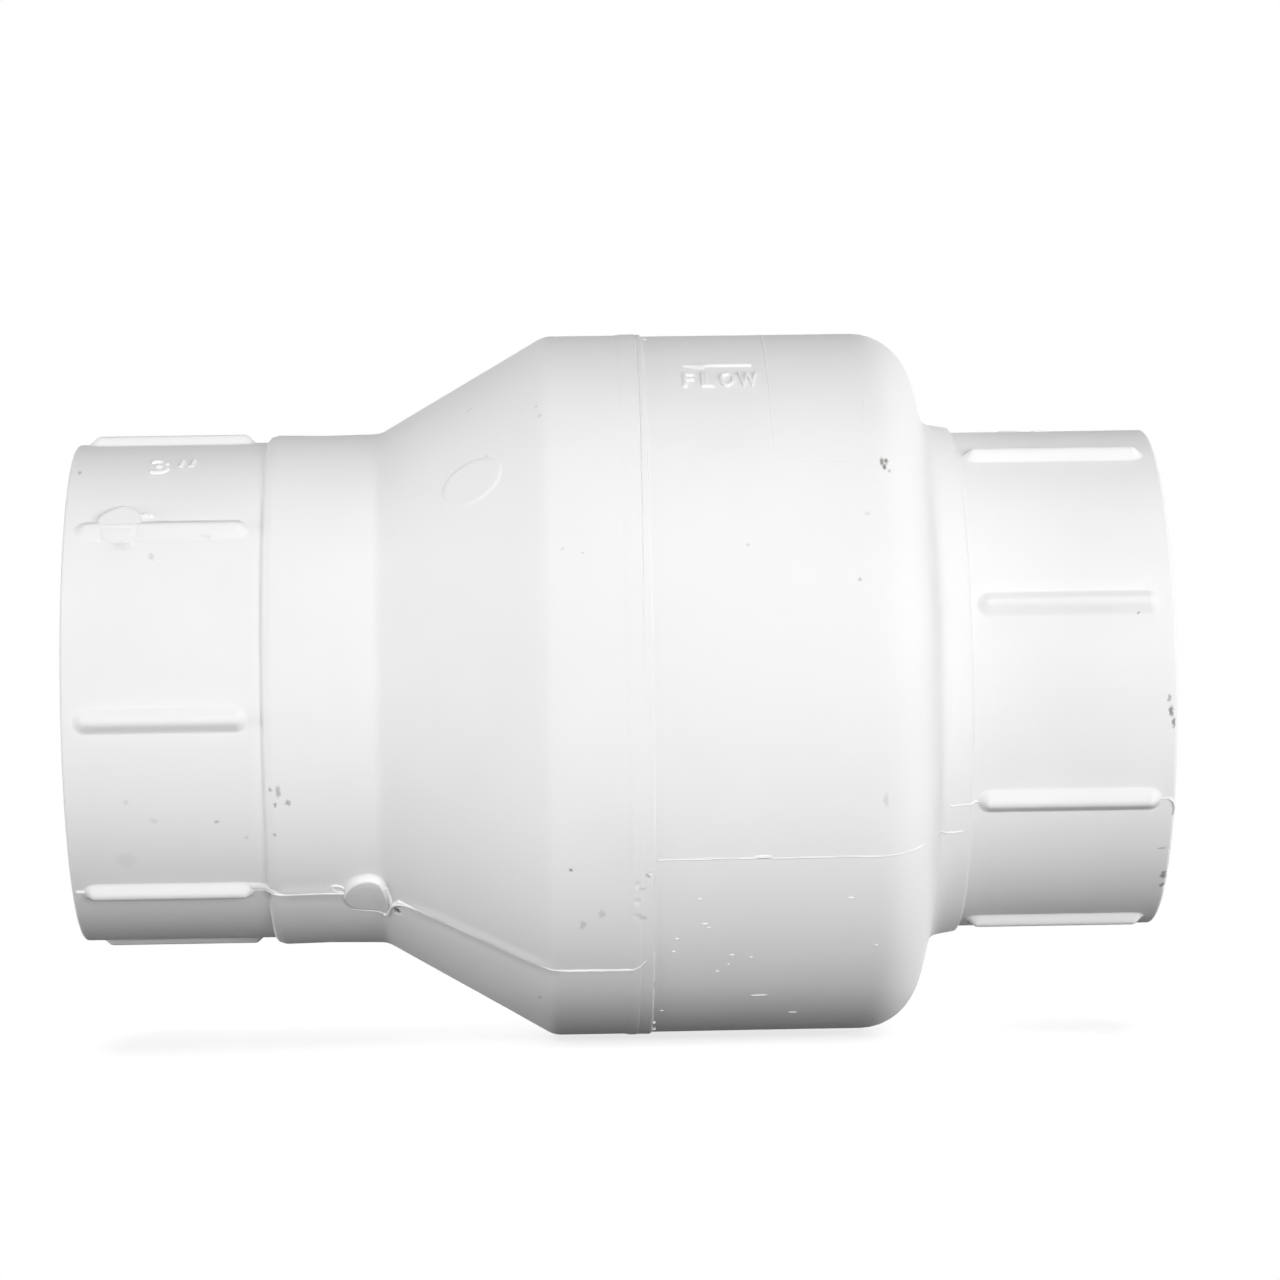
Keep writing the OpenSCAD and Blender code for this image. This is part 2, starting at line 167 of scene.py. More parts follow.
class Wire:
    """A value in a shader: wraps an output socket, so that sums on it add Math nodes."""

    def __init__(self, bench: "Bench", socket: bpy.types.NodeSocket) -> None:
        """Keeps the bench that makes the nodes and the socket that gives the value."""
        self.bench = bench
        self.socket = socket

    def _sum(self, operation: str, *terms: "Wire | float") -> "Wire":
        """Adds one Math node."""
        return self.bench.node("ShaderNodeMath", {"operation": operation}, dict(enumerate(terms)))

    def __add__(self, other: "Wire | float") -> "Wire":
        """Returns self + other."""
        return self._sum("ADD", self, other)

    def __radd__(self, other: float) -> "Wire":
        """Returns other + self."""
        return self._sum("ADD", other, self)

    def __sub__(self, other: "Wire | float") -> "Wire":
        """Returns self - other."""
        return self._sum("SUBTRACT", self, other)

    def __rsub__(self, other: float) -> "Wire":
        """Returns other - self."""
        return self._sum("SUBTRACT", other, self)

    def __mul__(self, other: "Wire | float") -> "Wire":
        """Returns self * other."""
        return self._sum("MULTIPLY", self, other)

    def __rmul__(self, other: float) -> "Wire":
        """Returns other * self."""
        return self._sum("MULTIPLY", other, self)

    def root(self) -> "Wire":
        """Returns the value's square root."""
        return self._sum("SQRT", self)

    def larger(self, other: "Wire | float") -> "Wire":
        """Returns the larger of the two values."""
        return self._sum("MAXIMUM", self, other)

    def ramp(self, low: float, high: float) -> "Wire":
        """Rises smoothly from 0 at low to 1 at high.

        Args:
            low: The value that gives 0.
            high: The value that gives 1. It may be the smaller of the two.

        Returns:
            The ramped value, held between 0 and 1.
        """
        settings = {"interpolation_type": "SMOOTHSTEP", "clamp": True}
        inputs = {0: self, 1: low, 2: high, 3: 0.0, 4: 1.0}
        return self.bench.node("ShaderNodeMapRange", settings, inputs)


class Bench:
    """Builds the node tree of one material or of the world."""

    def __init__(self, owner: bpy.types.Material | bpy.types.World) -> None:
        """Empties the owner's node tree.

        Args:
            owner: The material or world whose nodes are built.
        """
        owner.use_nodes = True
        self.tree = owner.node_tree
        self.tree.nodes.clear()

    def node(
        self, kind: str, settings: dict | None = None, inputs: dict | None = None, out: int | str = 0
    ) -> Wire:
        """Adds a node, its settings first and then what its sockets take.

        Args:
            kind: The node's type.
            settings: Attributes of the node, such as a Math node's operation.
            inputs: Values or wires by socket name or number.
            out: The output that is wanted.

        Returns:
            The wanted output, wrapped.
        """
        made = self.tree.nodes.new(kind)
        for key, value in (settings or {}).items():
            setattr(made, key, value)
        for key, value in (inputs or {}).items():
            if isinstance(value, Wire):
                self.tree.links.new(value.socket, made.inputs[key])
            else:
                made.inputs[key].default_value = value
        return Wire(self, made.outputs[out] if len(made.outputs) else None)

    def vector(self, operation: str, *terms: Wire | tuple[float, ...], out: int | str = 0) -> Wire:
        """Adds one Vector Math node."""
        return self.node("ShaderNodeVectorMath", {"operation": operation}, dict(enumerate(terms)), out)

    def shown(self) -> Wire:
        """Returns 1 for the rays that show a thing to the camera, straight or by way of metal or glass."""
        rays = [self.node("ShaderNodeLightPath", out=f"Is {kind} Ray") for kind in SHOWING_RAYS]
        return rays[0].larger(rays[1]).larger(rays[2])

    def place(self) -> Wire:
        """Returns the place on the piece, in millimetres."""
        metres = self.node("ShaderNodeTexCoord", out="Object")
        return self.node("ShaderNodeVectorMath", {"operation": "SCALE"}, {0: metres, "Scale": 1 / MM})

    def noise(self, where: Wire, grain: float, detail: float = 2.0, roughness: float = 0.5) -> Wire:
        """Makes noise.

        Args:
            where: The place, in millimetres.
            grain: Size of the noise's features in millimetres.
            detail: Number of finer octaves.
            roughness: Strength of those octaves.

        Returns:
            The noise, from 0 to 1.
        """
        inputs = {"Vector": where, "Scale": 1 / grain, "Detail": detail, "Roughness": roughness}
        return self.node("ShaderNodeTexNoise", None, inputs, "Fac")

    def mix(self, share: Wire | float, first: Wire | Colour, second: Wire | Colour) -> Wire:
        """Blends two colours, from the first at a share of 0 to the second at 1."""
        ends = [value if isinstance(value, Wire) else (*value, 1.0) for value in (first, second)]
        return self.node("ShaderNodeMix", {"data_type": "RGBA"}, {0: share, 6: ends[0], 7: ends[1]}, 2)

    def bump(self, height: Wire, depth: float, strength: float = 1.0, under: Wire | None = None) -> Wire:
        """Makes a normal that leans with a height.

        Args:
            height: The height, from 0 to 1.
            depth: What a height of 1 stands for, in millimetres.
            strength: How much of the lean is kept.
            under: A coarser normal that this one adds to.

        Returns:
            The normal.
        """
        inputs = {"Height": height, "Distance": depth * MM, "Strength": strength}
        if under is not None:
            inputs["Normal"] = under
        return self.node("ShaderNodeBump", None, inputs, "Normal")

    def surface(self, **inputs: Wire | float | Colour) -> None:
        """Ends the tree in a Principled shader.

        Args:
            **inputs: The shader's sockets, with underscores for spaces.
        """
        named = {}
        for key, value in inputs.items():
            is_colour = isinstance(value, tuple)
            named[key.replace("_", " ")] = (*value, 1.0) if is_colour else value
        shader = self.node("ShaderNodeBsdfPrincipled", None, named, "BSDF")
        self.node("ShaderNodeOutputMaterial", None, {"Surface": shader})


# Finishes


def blank(name: str) -> tuple[bpy.types.Material, Bench, Wire]:
    """Starts a finish.

    Args:
        name: The material's name.

    Returns:
        The material, the bench for its nodes and the place on the piece.
    """
    material = bpy.data.materials.new(name)
    bench = Bench(material)
    return material, bench, bench.place()


@dataclass(frozen=True)
class Speck:
    """A dark spot in a body half's colour. Most are flecks of grime and scuffs; some are painted shade in a
    pit or a nick.

    Attributes:
        x: Its place along the pipe.
        turn: Its place around it.
        size: Its half width.
        dark: How dark it is, from 0 to 1.
        stretch: How much longer it is around the pipe than along it.
    """

    x: float
    turn: float
    size: float
    dark: float = 0.6
    stretch: float = 1.0


@dataclass(frozen=True)
class MouldedShell:
    """White pressure-pipe plastic with faint flow shading, a fine grain and dark specks, some of them
    painted shade.

    Attributes:
        name: The material's name.
        specks: The dark specks: grime and scuffs, and on the outlet half painted shade in the pit beside
            the gate and in the nicks of the band.
        skin: The outside on which they lie.
        colour: The plastic's colour.
        shade: Its colour where the melt flowed unevenly.
        dirt_and_shade: The specks' colour, which stands for grime and for painted shade.
        roughness: Its least roughness.
        gloss: Its specular level.
        flow_stretch: How the flow's shading is drawn out around the pipe.
        ragged: How far a mark's edge wanders, in millimetres.
        core: How much of a mark is fully dark.
    """

    name: str
    specks: tuple[Speck, ...]
    skin: "Skin"
    colour: Colour = (0.875, 0.875, 0.872)
    shade: Colour = (0.835, 0.836, 0.832)
    dirt_and_shade: Colour = (0.14, 0.135, 0.13)
    roughness: float = 0.5
    gloss: float = 0.05
    flow_stretch: tuple[float, float, float] = (1.0, 0.25, 0.25)
    ragged: float = 1.6
    core: float = 0.35

    def build(self) -> bpy.types.Material:
        """Builds the shell's plastic.

        Returns:
            The material.
        """
        material, bench, where = blank(self.name)
        cloud = bench.noise(where, 34.0, 3.0).ramp(0.35, 0.72)
        grain = bench.noise(where, 0.9, 3.0, 0.6)
        flow = bench.noise(bench.vector("MULTIPLY", where, self.flow_stretch), 5.0, 2.0)
        colour = bench.mix(cloud * 0.6 + flow * 0.25, self.colour, self.shade)
        dust = bench.noise(where, 1.7, 4.0, 0.7).ramp(0.70, 0.80) * 0.10
        # The specks darken the colour: grime and scuffs, and painted shade in the pit beside the gate and
        # in the band's nicks.
        marks = dust.larger(self._marks(bench, where))
        bench.surface(
            Base_Color=bench.mix(marks, colour, self.dirt_and_shade),
            Roughness=self.roughness + grain * 0.10 + marks * 0.15,
            Normal=bench.bump(grain, 0.022, 0.5, bench.bump(flow, 0.05, 0.5)),
            Specular_IOR_Level=self.gloss,
        )
        return material

    def _marks(self, bench: Bench, where: Wire) -> Wire:
        """Draws the specks.

        Args:
            bench: What makes the nodes.
            where: The place on the piece.

        Returns:
            How dark they are, from 0 to 1.
        """
        wander = {"Vector": where, "Scale": 1.1, "Detail": 4.0, "Roughness": 0.7}
        jitter = bench.node("ShaderNodeTexNoise", None, wander, "Color")
        centred = bench.vector("SUBTRACT", jitter, (0.5, 0.5, 0.5))
        ragged = bench.vector("MULTIPLY_ADD", centred, (self.ragged,) * 3, where)
        darkest: Wire | None = None
        for speck in self.specks:
            middle = self.skin.point(self.skin.run_to(speck.x), speck.turn)
            offset = bench.vector("SUBTRACT", ragged, tuple(middle))
            offset = bench.vector("MULTIPLY", offset, (1.0, 1 / speck.stretch, 1 / speck.stretch))
            away = bench.vector("LENGTH", offset, out="Value")
            mark = away.ramp(speck.size, speck.size * self.core) * speck.dark
            darkest = mark if darkest is None else darkest.larger(mark)
        return darkest


@dataclass(frozen=True)
class PlainPlastic:
    """A moulded plastic in one colour, with faint clouds and a grain.

    Attributes:
        name: The material's name.
        colour: The plastic's colour.
        shade: Its colour in the clouds.
        roughness: Its least roughness.
        grain_depth: How deep the grain is, in millimetres.
        gloss: Its specular level.
    """

    name: str
    colour: Colour
    shade: Colour
    roughness: float
    grain_depth: float = 0.02
    gloss: float = 0.4

    def build(self) -> bpy.types.Material:
        """Builds the plastic.

        Returns:
            The material.
        """
        material, bench, where = blank(self.name)
        cloud = bench.noise(where, 14.0, 3.0).ramp(0.3, 0.7)
        grain = bench.noise(where, 0.7, 3.0, 0.6)
        bench.surface(
            Base_Color=bench.mix(cloud * 0.7 + grain * 0.3, self.colour, self.shade),
            Roughness=self.roughness + grain * 0.12,
            Normal=bench.bump(grain, self.grain_depth, 0.6),
            Specular_IOR_Level=self.gloss,
        )
        return material


@dataclass(frozen=True)
class SealRubber:
    """Black rubber with a bloom of pale dust and a matt, finely pitted face.

    Attributes:
        name: The material's name.
        colour: The rubber's colour.
        bloom: Its colour where dust lies.
        roughness: Its least roughness.
        gloss: Its specular level.
    """

    name: str = "black_rubber"
    colour: Colour = (0.018, 0.018, 0.019)
    bloom: Colour = (0.055, 0.055, 0.057)
    roughness: float = 0.68
    gloss: float = 0.3

    def build(self) -> bpy.types.Material:
        """Builds the rubber.

        Returns:
            The material.
        """
        material, bench, where = blank(self.name)
        dust = bench.noise(where, 4.0, 5.0, 0.65).ramp(0.45, 0.75)
        pits = bench.noise(where, 0.35, 2.0)
        bench.surface(
            Base_Color=bench.mix(dust, self.colour, self.bloom),
            Roughness=self.roughness + pits * 0.2,
            Normal=bench.bump(pits, 0.03, 0.6),
            Specular_IOR_Level=self.gloss,
        )
        return material


class Lay(Enum):
    """The way that the cutting or drawing marks run on a metal piece."""

    TURNED = "rings about the pipe axis"
    DRAWN = "lines along the wire"


@dataclass(frozen=True)
class BrightSteel:
    """Stainless steel with tool marks and a little haze.

    Attributes:
        name: The material's name.
        lay: The way that the tool marks run.
        colour: The steel's colour.
        haze: Its colour where it is dull.
        roughness: Its least roughness.
    """

    name: str
    lay: Lay
    colour: Colour = (0.62, 0.61, 0.595)
    haze: Colour = (0.47, 0.46, 0.45)
    roughness: float = 0.24

    def build(self) -> bpy.types.Material:
        """Builds the steel.

        Returns:
            The material.
        """
        material, bench, where = blank(self.name)
        marks = self._tool_marks(bench, where)
        haze = bench.noise(where, 6.0, 4.0, 0.6).ramp(0.4, 0.75)
        bench.surface(
            Base_Color=bench.mix(haze * 0.8, self.colour, self.haze),
            Roughness=self.roughness + haze * 0.14 + marks * 0.08,
            Metallic=1.0,
            Normal=bench.bump(marks, 0.008, 0.5),
        )
        return material

    def _tool_marks(self, bench: Bench, where: Wire) -> Wire:
        """Draws the tool marks.

        Args:
            bench: What makes the nodes.
            where: The place on the piece.

        Returns:
            Their height, from 0 to 1.
        """
        if self.lay is Lay.DRAWN:
            return bench.noise(where, 0.5, 3.0, 0.6)
        parts = [bench.node("ShaderNodeSeparateXYZ", None, {0: where}, axis) for axis in ("X", "Y", "Z")]
        radius = (parts[1] * parts[1] + parts[2] * parts[2]).root()
        rings = bench.node("ShaderNodeCombineXYZ", None, {0: parts[0] * 4.0, 1: radius * 4.0})
        return bench.noise(rings, 1.0, 3.0, 0.7)


# Forms


@dataclass(frozen=True)
class Corner:
    """A corner of a turned outline.

    Attributes:
        x: Distance along the pipe.
        r: Distance from the pipe axis.
        ease: Radius of the rounding at this corner.
    """

    x: float
    r: float
    ease: float = 0.3


def rounded(corners: Sequence[Corner], closed: bool, step: float = 3.0) -> np.ndarray:
    """Rounds the corners of an outline and divides its long sides.

    Args:
        corners: The outline's corners, in order.
        closed: Whether the last corner joins the first.
        step: The longest side left undivided.

    Returns:
        Points as rows of distance along the pipe and radius.
    """
    count = len(corners)
    spots = [np.array((c.x, c.r)) for c in corners]
    points: list[np.ndarray] = []
    for i, corner in enumerate(corners):
        at = spots[i]
        if not closed and i in (0, count - 1):
            points.append(at)
            continue
        before, after = spots[i - 1] - at, spots[(i + 1) % count] - at
        room = min(np.linalg.norm(before), np.linalg.norm(after)) * EASE_SHARE
        before, after = before / np.linalg.norm(before), after / np.linalg.norm(after)
        bend = math.pi - math.acos(float(np.clip(before @ after, -1, 1)))
        if bend < STRAIGHT or corner.ease <= 0:
            points.append(at)
            continue
        reach = min(corner.ease * math.tan(bend / 2), room)
        radius = reach / math.tan(bend / 2)
        middle = at + (before + after) / np.linalg.norm(before + after) * math.hypot(reach, radius)
        steps = max(3, round(math.degrees(bend) / EASE_STEP))
        start, end = at + before * reach - middle, at + after * reach - middle
        for k in range(steps + 1):
            share = k / steps
            arm = start * math.sin((1 - share) * bend) + end * math.sin(share * bend)
            points.append(middle + arm / math.sin(bend))
    ring = points + [points[0]] if closed else points
    divided: list[np.ndarray] = []
    for first, second in zip(ring, ring[1:]):
        parts = max(1, math.ceil(float(np.linalg.norm(second - first)) / step))
        divided += [first + (second - first) * k / parts for k in range(parts)]
    return np.array(divided if closed else divided + [points[-1]])


class Skin:
    """The outside of a body half, on which raised pieces are laid."""

    def __init__(self, corners: Sequence[Corner]) -> None:
        """Draws the outline of the outside.

        Args:
            corners: The outline from one end of the half to the other.
        """
        self.points = rounded(corners, closed=False, step=1.0)
        steps = np.diff(self.points, axis=0)
        lengths = np.hypot(steps[:, 0], steps[:, 1])
        self.run = np.concatenate([[0.0], np.cumsum(lengths)])
        slope = np.gradient(self.points, self.run, axis=0)
        slope /= np.linalg.norm(slope, axis=1, keepdims=True)
        self.normals = np.stack([-slope[:, 1], slope[:, 0]], axis=1)

    def run_to(self, x: float | np.ndarray) -> float | np.ndarray:
        """Returns the distance along the skin to a place along the pipe."""
        return np.interp(x, self.points[:, 0], self.run)

    def radius(self, run: float | np.ndarray) -> float | np.ndarray:
        """Returns the skin's radius at a distance along it."""
        return np.interp(run, self.run, self.points[:, 1])

    def point(
        self, run: float | np.ndarray, turn: float | np.ndarray, rise: float | np.ndarray = 0.0
    ) -> np.ndarray:
        """Finds a point on or above the skin.

        Args:
            run: Distance along the skin.
            turn: Degrees below the front.
            rise: Height above the skin.

        Returns:
            The point or points, in millimetres.
        """
        x, r = (np.interp(run, self.run, self.points[:, k]) for k in (0, 1))
        nx, nr = (np.interp(run, self.run, self.normals[:, k]) for k in (0, 1))
        x, r, angle = x + nx * rise, r + nr * rise, np.radians(turn)
        return np.stack(np.broadcast_arrays(x, -r * np.cos(angle), -r * np.sin(angle)), axis=-1)

    def beside(
        self, run: np.ndarray, turn: float | np.ndarray, lap: np.ndarray, rise: float | np.ndarray
    ) -> np.ndarray:
        """Finds points that lie round the skin from a line.

        Args:
            run: Distance along the skin.
            turn: Degrees below the front of the line.
            lap: Distance from the line, round the skin.
            rise: Height above the skin.

        Returns:
            The points, in millimetres.
        """
        return self.point(run, turn + np.degrees(lap / self.radius(run)), rise)


def linked(name: str, data: bpy.types.ID) -> bpy.types.Object:
    """Adds an object to the scene.

    Args:
        name: Its name.
        data: What it shows, such as a mesh or a lamp.

    Returns:
        The object.
    """
    made = bpy.data.objects.new(name, data)
    bpy.context.scene.collection.objects.link(made)
    return made


@dataclass
class Form:
    """A mesh in the making.

    Attributes:
        points: The corners of its shells, in millimetres.
        faces: The faces between them, by corner number.
        count: How many corners there are.
    """

    points: list[np.ndarray] = field(default_factory=list)
    faces: list[tuple[int, ...]] = field(default_factory=list)
    count: int = 0

    def add(self, points: np.ndarray, faces: Iterable[tuple[int, ...]]) -> None:
        """Adds a closed shell, turned right side out.

        Args:
            points: The shell's corners.
            faces: The shell's faces, by corner number.
        """
        faces = list(faces)
        volume = 0.0
        for face in faces:
            first = points[face[0]]
            for a, b in zip(face[1:], face[2:]):
                volume += float(first @ np.cross(points[a], points[b]))
        if volume < 0:
            faces = [face[::-1] for face in faces]
        self.faces += [tuple(k + self.count for k in face) for face in faces]
        self.points.append(points)
        self.count += len(points)

    def build(self, name: str, material: bpy.types.Material, crease: float = 40.0) -> bpy.types.Object:
        """Makes the object.

        Args:
            name: The piece's name.
            material: Its finish.
            crease: The angle between faces, in degrees, over which their edge stays sharp.

        Returns:
            The object, in metres and at the origin.
        """
        mesh = bpy.data.meshes.new(name)
        mesh.from_pydata((np.concatenate(self.points) * MM).tolist(), [], self.faces)
        mesh.polygons.foreach_set("use_smooth", [True] * len(mesh.polygons))
        mesh.set_sharp_from_angle(angle=math.radians(crease))
        mesh.materials.append(material)
        return linked(name, mesh)


def loft(rings: Sequence[np.ndarray], closed: bool) -> list[tuple[int, ...]]:
    """Lists the faces that join rings of points.

    Args:
        rings: Rings with the same number of points, numbered one after another.
        closed: Whether the last ring joins the first.

    Returns:
        The faces.
    """
    size, count = len(rings[0]), len(rings)
    faces = []
    for i in range(count if closed else count - 1):
        j = (i + 1) % count
        for k in range(size):
            m = (k + 1) % size
            faces.append((i * size + k, i * size + m, j * size + m, j * size + k))
    return faces


def cap(start: int, size: int) -> list[tuple[int, ...]]:
    """Closes a ring of points by joining its two halves.

    Args:
        start: Number of the ring's first point.
        size: Number of points in the ring, an even number.

    Returns:
        The faces.
    """
    last = start + size - 1
    return [(start + k, start + k + 1, last - k - 1, last - k) for k in range(size // 2 - 1)]


def mound(rings: Sequence[np.ndarray]) -> Shape:
    """Joins rings into a closed mound.

    Args:
        rings: Rings with the same even number of points, from the foot to the top.

    Returns:
        The mound's corners and faces.
    """
    size = len(rings[0])
    foot = [face[::-1] for face in cap(0, size)]
    top = cap((len(rings) - 1) * size, size)
    return np.concatenate(rings), loft(rings, closed=False) + foot + top


def tube(rings: np.ndarray, closed: bool) -> Shape:
    """Joins the cross sections of a line, with flat ends where it is open.

    Args:
        rings: The cross sections, one after another.
        closed: Whether the last joins the first.

    Returns:
        The line's corners and faces.
    """
    count, size = rings.shape[:2]
    faces = loft(list(rings), closed)
    if not closed:
        last = (count - 1) * size
        faces += [tuple(range(size)), tuple(range(last, last + size))[::-1]]
    return rings.reshape(-1, 3), faces


def ripple(along: np.ndarray, seed: float) -> np.ndarray:
    """Returns an uneven wave between about -1 and 1, which looks like chance but is the same each run."""
    parts = ((0.50, 0.83, 1.0), (0.32, 2.17, 2.3), (0.22, 5.31, 4.1), (0.14, 11.7, 6.7))
    return sum(size * np.sin(rate * along + seed * shift) for size, rate, shift in parts)


@dataclass(frozen=True)
class Dent:
    """A hollow in the outside of a body half.

    Attributes:
        x: Its place along the pipe.
        turn: Its place around it.
        length: Its size along the pipe.
        breadth: Its size around it.
        depth: Its depth, or below 0 the height of a boss.
        flat: How much of its bottom is flat, from 0 for a bowl.
    """

    x: float
    turn: float
    length: float
    breadth: float
    depth: float
    flat: float = 0.0

    def at(self, x: np.ndarray, turns: np.ndarray, radius: np.ndarray) -> np.ndarray:
        """Sinks the hollow into places on the body.

        Args:
            x: Their places along the pipe.
            turns: Their places around it.
            radius: Their distances from the pipe axis.

        Returns:
            How deep each place sinks.
        """
        lap = np.radians((turns - self.turn + 180) % 360 - 180) * radius
        away = np.hypot(2 * (x - self.x) / self.length, 2 * lap / self.breadth)
        fall = np.clip((1 - away) / (1 - self.flat), 0, 1)
        return self.depth * fall ** 2 * (3 - 2 * fall)


@dataclass(frozen=True)
class Groove:
    """A fine groove round a body half, a little out of true, which fades out below.

    Attributes:
        start: Where it starts along the pipe.
        middle: Where it is deepest.
        end: Where it ends.
        depth: Its depth.
        floor_r: The radius from which a point belongs to the skin that it is cut in.
        lean: How far its top leans along the pipe, and its bottom the other way.
        before: How far the skin in front of it leans with it.
        after: How far the skin behind it does.
    """

    start: float
    middle: float
    end: float
    depth: float
    floor_r: float
    lean: float = 0.9
    before: float = 2.4
    after: float = 1.6

    def shift(self, x: np.ndarray, turns: np.ndarray, radius: np.ndarray) -> np.ndarray:
        """Leans the groove and the skin beside it.

        Args:
            x: Their places along the pipe.
            turns: Their places around it.
            radius: Their distances from the pipe axis.

        Returns:
            How far each place moves along the pipe.
        """
        places = (self.start - self.before, self.start, self.end, self.end + self.after)
        share = np.interp(x, places, (0.0, 1.0, 1.0, 0.0)) * (radius > self.floor_r)
        return -self.lean * np.sin(np.radians(turns)) * share

    def at(self, x: np.ndarray, turns: np.ndarray, radius: np.ndarray) -> np.ndarray:
        """Sinks the groove into places on the body.

        Args:
            x: Their places along the pipe.
            turns: Their places around it.
            radius: Their distances from the pipe axis.

        Returns:
            How deep each place sinks.
        """
        fade = np.clip((0.1 - np.sin(np.radians(turns))) / 0.4, 0, 1)
        share = np.interp(x, (self.start, self.middle, self.end), (0.0, 1.0, 0.0))
        return self.depth * share * fade * (radius > self.floor_r)


@dataclass(frozen=True)
class TurnedShell:
    """A closed outline turned about the pipe axis, with a finer grid where the dents are.

    Attributes:
        outline: Rows of distance along the pipe and radius.
        outside_r: The radius from which a point belongs to the outside.
        dents: The hollows in the outside.
        groove: The groove in the outside, if it has one.
        step: The turn between grid lines, in degrees.
        fine: The distance between grid lines at a dent.
    """

    outline: np.ndarray
    outside_r: float
    dents: tuple[Dent, ...] = ()
    groove: Groove | None = None
    step: float = 1.25
    fine: float = 0.3

    def turns(self) -> np.ndarray:
        """Spaces the grid lines that run along the pipe.

        Returns:
            Their places around it.
        """
        lines = [np.arange(0, 360, self.step)]
        for dent in self.dents:
            half = math.degrees(dent.breadth * 0.6 / self.outside_r)
            parts = math.ceil(dent.breadth * 1.2 / self.fine)
            lines.append(np.linspace(dent.turn - half, dent.turn + half, parts) % 360)
        return np.unique(np.round(np.concatenate(lines), 2))

    def stations(self) -> np.ndarray:
        """Divides the outline more finely where the dents are.

        Returns:
            Rows of distance along the pipe and radius.
        """
        spots = []
        for first, second in zip(self.outline, np.roll(self.outline, -1, axis=0)):
            near = any(abs((first[0] + second[0]) / 2 - d.x) < d.length * 0.6 + 1.5 for d in self.dents)
            near = near and min(first[1], second[1]) > self.outside_r
            parts = math.ceil(float(np.linalg.norm(second - first)) / self.fine) if near else 1
            spots += [first + (second - first) * k / parts for k in range(parts)]
        return np.array(spots)

    def shape(self) -> Shape:
        """Turns the outline about the pipe axis.

        Returns:
            The shell's corners and faces.
        """
        stations, turns = self.stations(), self.turns()
        x = stations[:, 0, None] + 0 * turns
        radius = stations[:, 1, None] + 0 * turns
        hollow = sum((dent.at(x, turns, radius) for dent in self.dents), np.zeros_like(x))
        lean = np.zeros_like(x)
        if self.groove is not None:
            lean = self.groove.shift(x, turns, radius)
            hollow = hollow + self.groove.at(x, turns, radius)
        x, radius = x + lean, radius - np.where(radius > self.outside_r, hollow, 0.0)
        angles = np.radians(turns)
        rings = np.stack([x, -radius * np.cos(angles), -radius * np.sin(angles)], axis=-1)
        return rings.reshape(-1, 3), loft(list(rings), closed=True)


class Section(Enum):
    """The shape across a raised line, as shares of its width and height."""

    FLASH = ((-0.5, 0.0), (-0.32, 0.55), (0.0, 1.0), (0.32, 0.55), (0.5, 0.0))
    SWELL = (
        (-0.5, 0.0), (-0.36, 0.10), (-0.24, 0.34), (-0.10, 0.80), (0.0, 1.0),
        (0.10, 0.80), (0.24, 0.34), (0.36, 0.10), (0.5, 0.0),
    )


@dataclass(frozen=True)
class Bead:
    """A raised line on a skin, such as flash.

    Attributes:
        path: Rows of distance along the pipe and degrees below the front.
        width: Its width, all along or for each row.
        height: Its height, all along or for each row.
        closed: Whether its end joins its start.
        section: The shape across it.
        root: How far it reaches into the skin.
        foot: Half its width down there, as a share of its width.
    """

    path: np.ndarray
    width: float | np.ndarray
    height: float | np.ndarray
    closed: bool = False
    section: Section = Section.FLASH
    root: float = 0.2
    foot: float = 0.42

    def shape(self, skin: Skin) -> Shape:
        """Lays the bead on a skin.

        Args:
            skin: The skin that carries it.

        Returns:
            Its corners and faces.
        """
        run, turn = skin.run_to(self.path[:, 0]), self.path[:, 1]
        lap = np.radians(turn) * skin.radius(run)
        way = np.stack([self._slope(run), self._slope(lap)], axis=1)
        way /= np.linalg.norm(way, axis=1, keepdims=True)
        side = np.stack([-way[:, 1], way[:, 0]], axis=1)
        width = np.broadcast_to(self.width, run.shape)
        height = np.broadcast_to(self.height, run.shape)
        lines = [(share, height * rise) for share, rise in self.section.value]
        lines += [(self.foot, -self.root), (-self.foot, -self.root)]
        rings = []
        for share, rise in lines:
            runs = run + side[:, 0] * width * share
            turns = turn + np.degrees(side[:, 1] * width * share / skin.radius(run))
            rings.append(skin.point(runs, turns, rise))
        return tube(np.stack(rings, axis=1), self.closed)

    def _slope(self, values: np.ndarray) -> np.ndarray:
        """Measures how fast a value changes along the path.

        Args:
            values: The value at each point of the path.

        Returns:
            How fast it changes there.
        """
        if self.closed:
            return np.roll(values, -1) - np.roll(values, 1)
        return np.gradient(values)


def drawn(*rows: tuple[float, ...]) -> Bead:
    """Returns a bead through rows of distance along the pipe, degrees below the front, width and height."""
    table = np.array(rows)
    return Bead(table[:, :2], table[:, 2], table[:, 3])


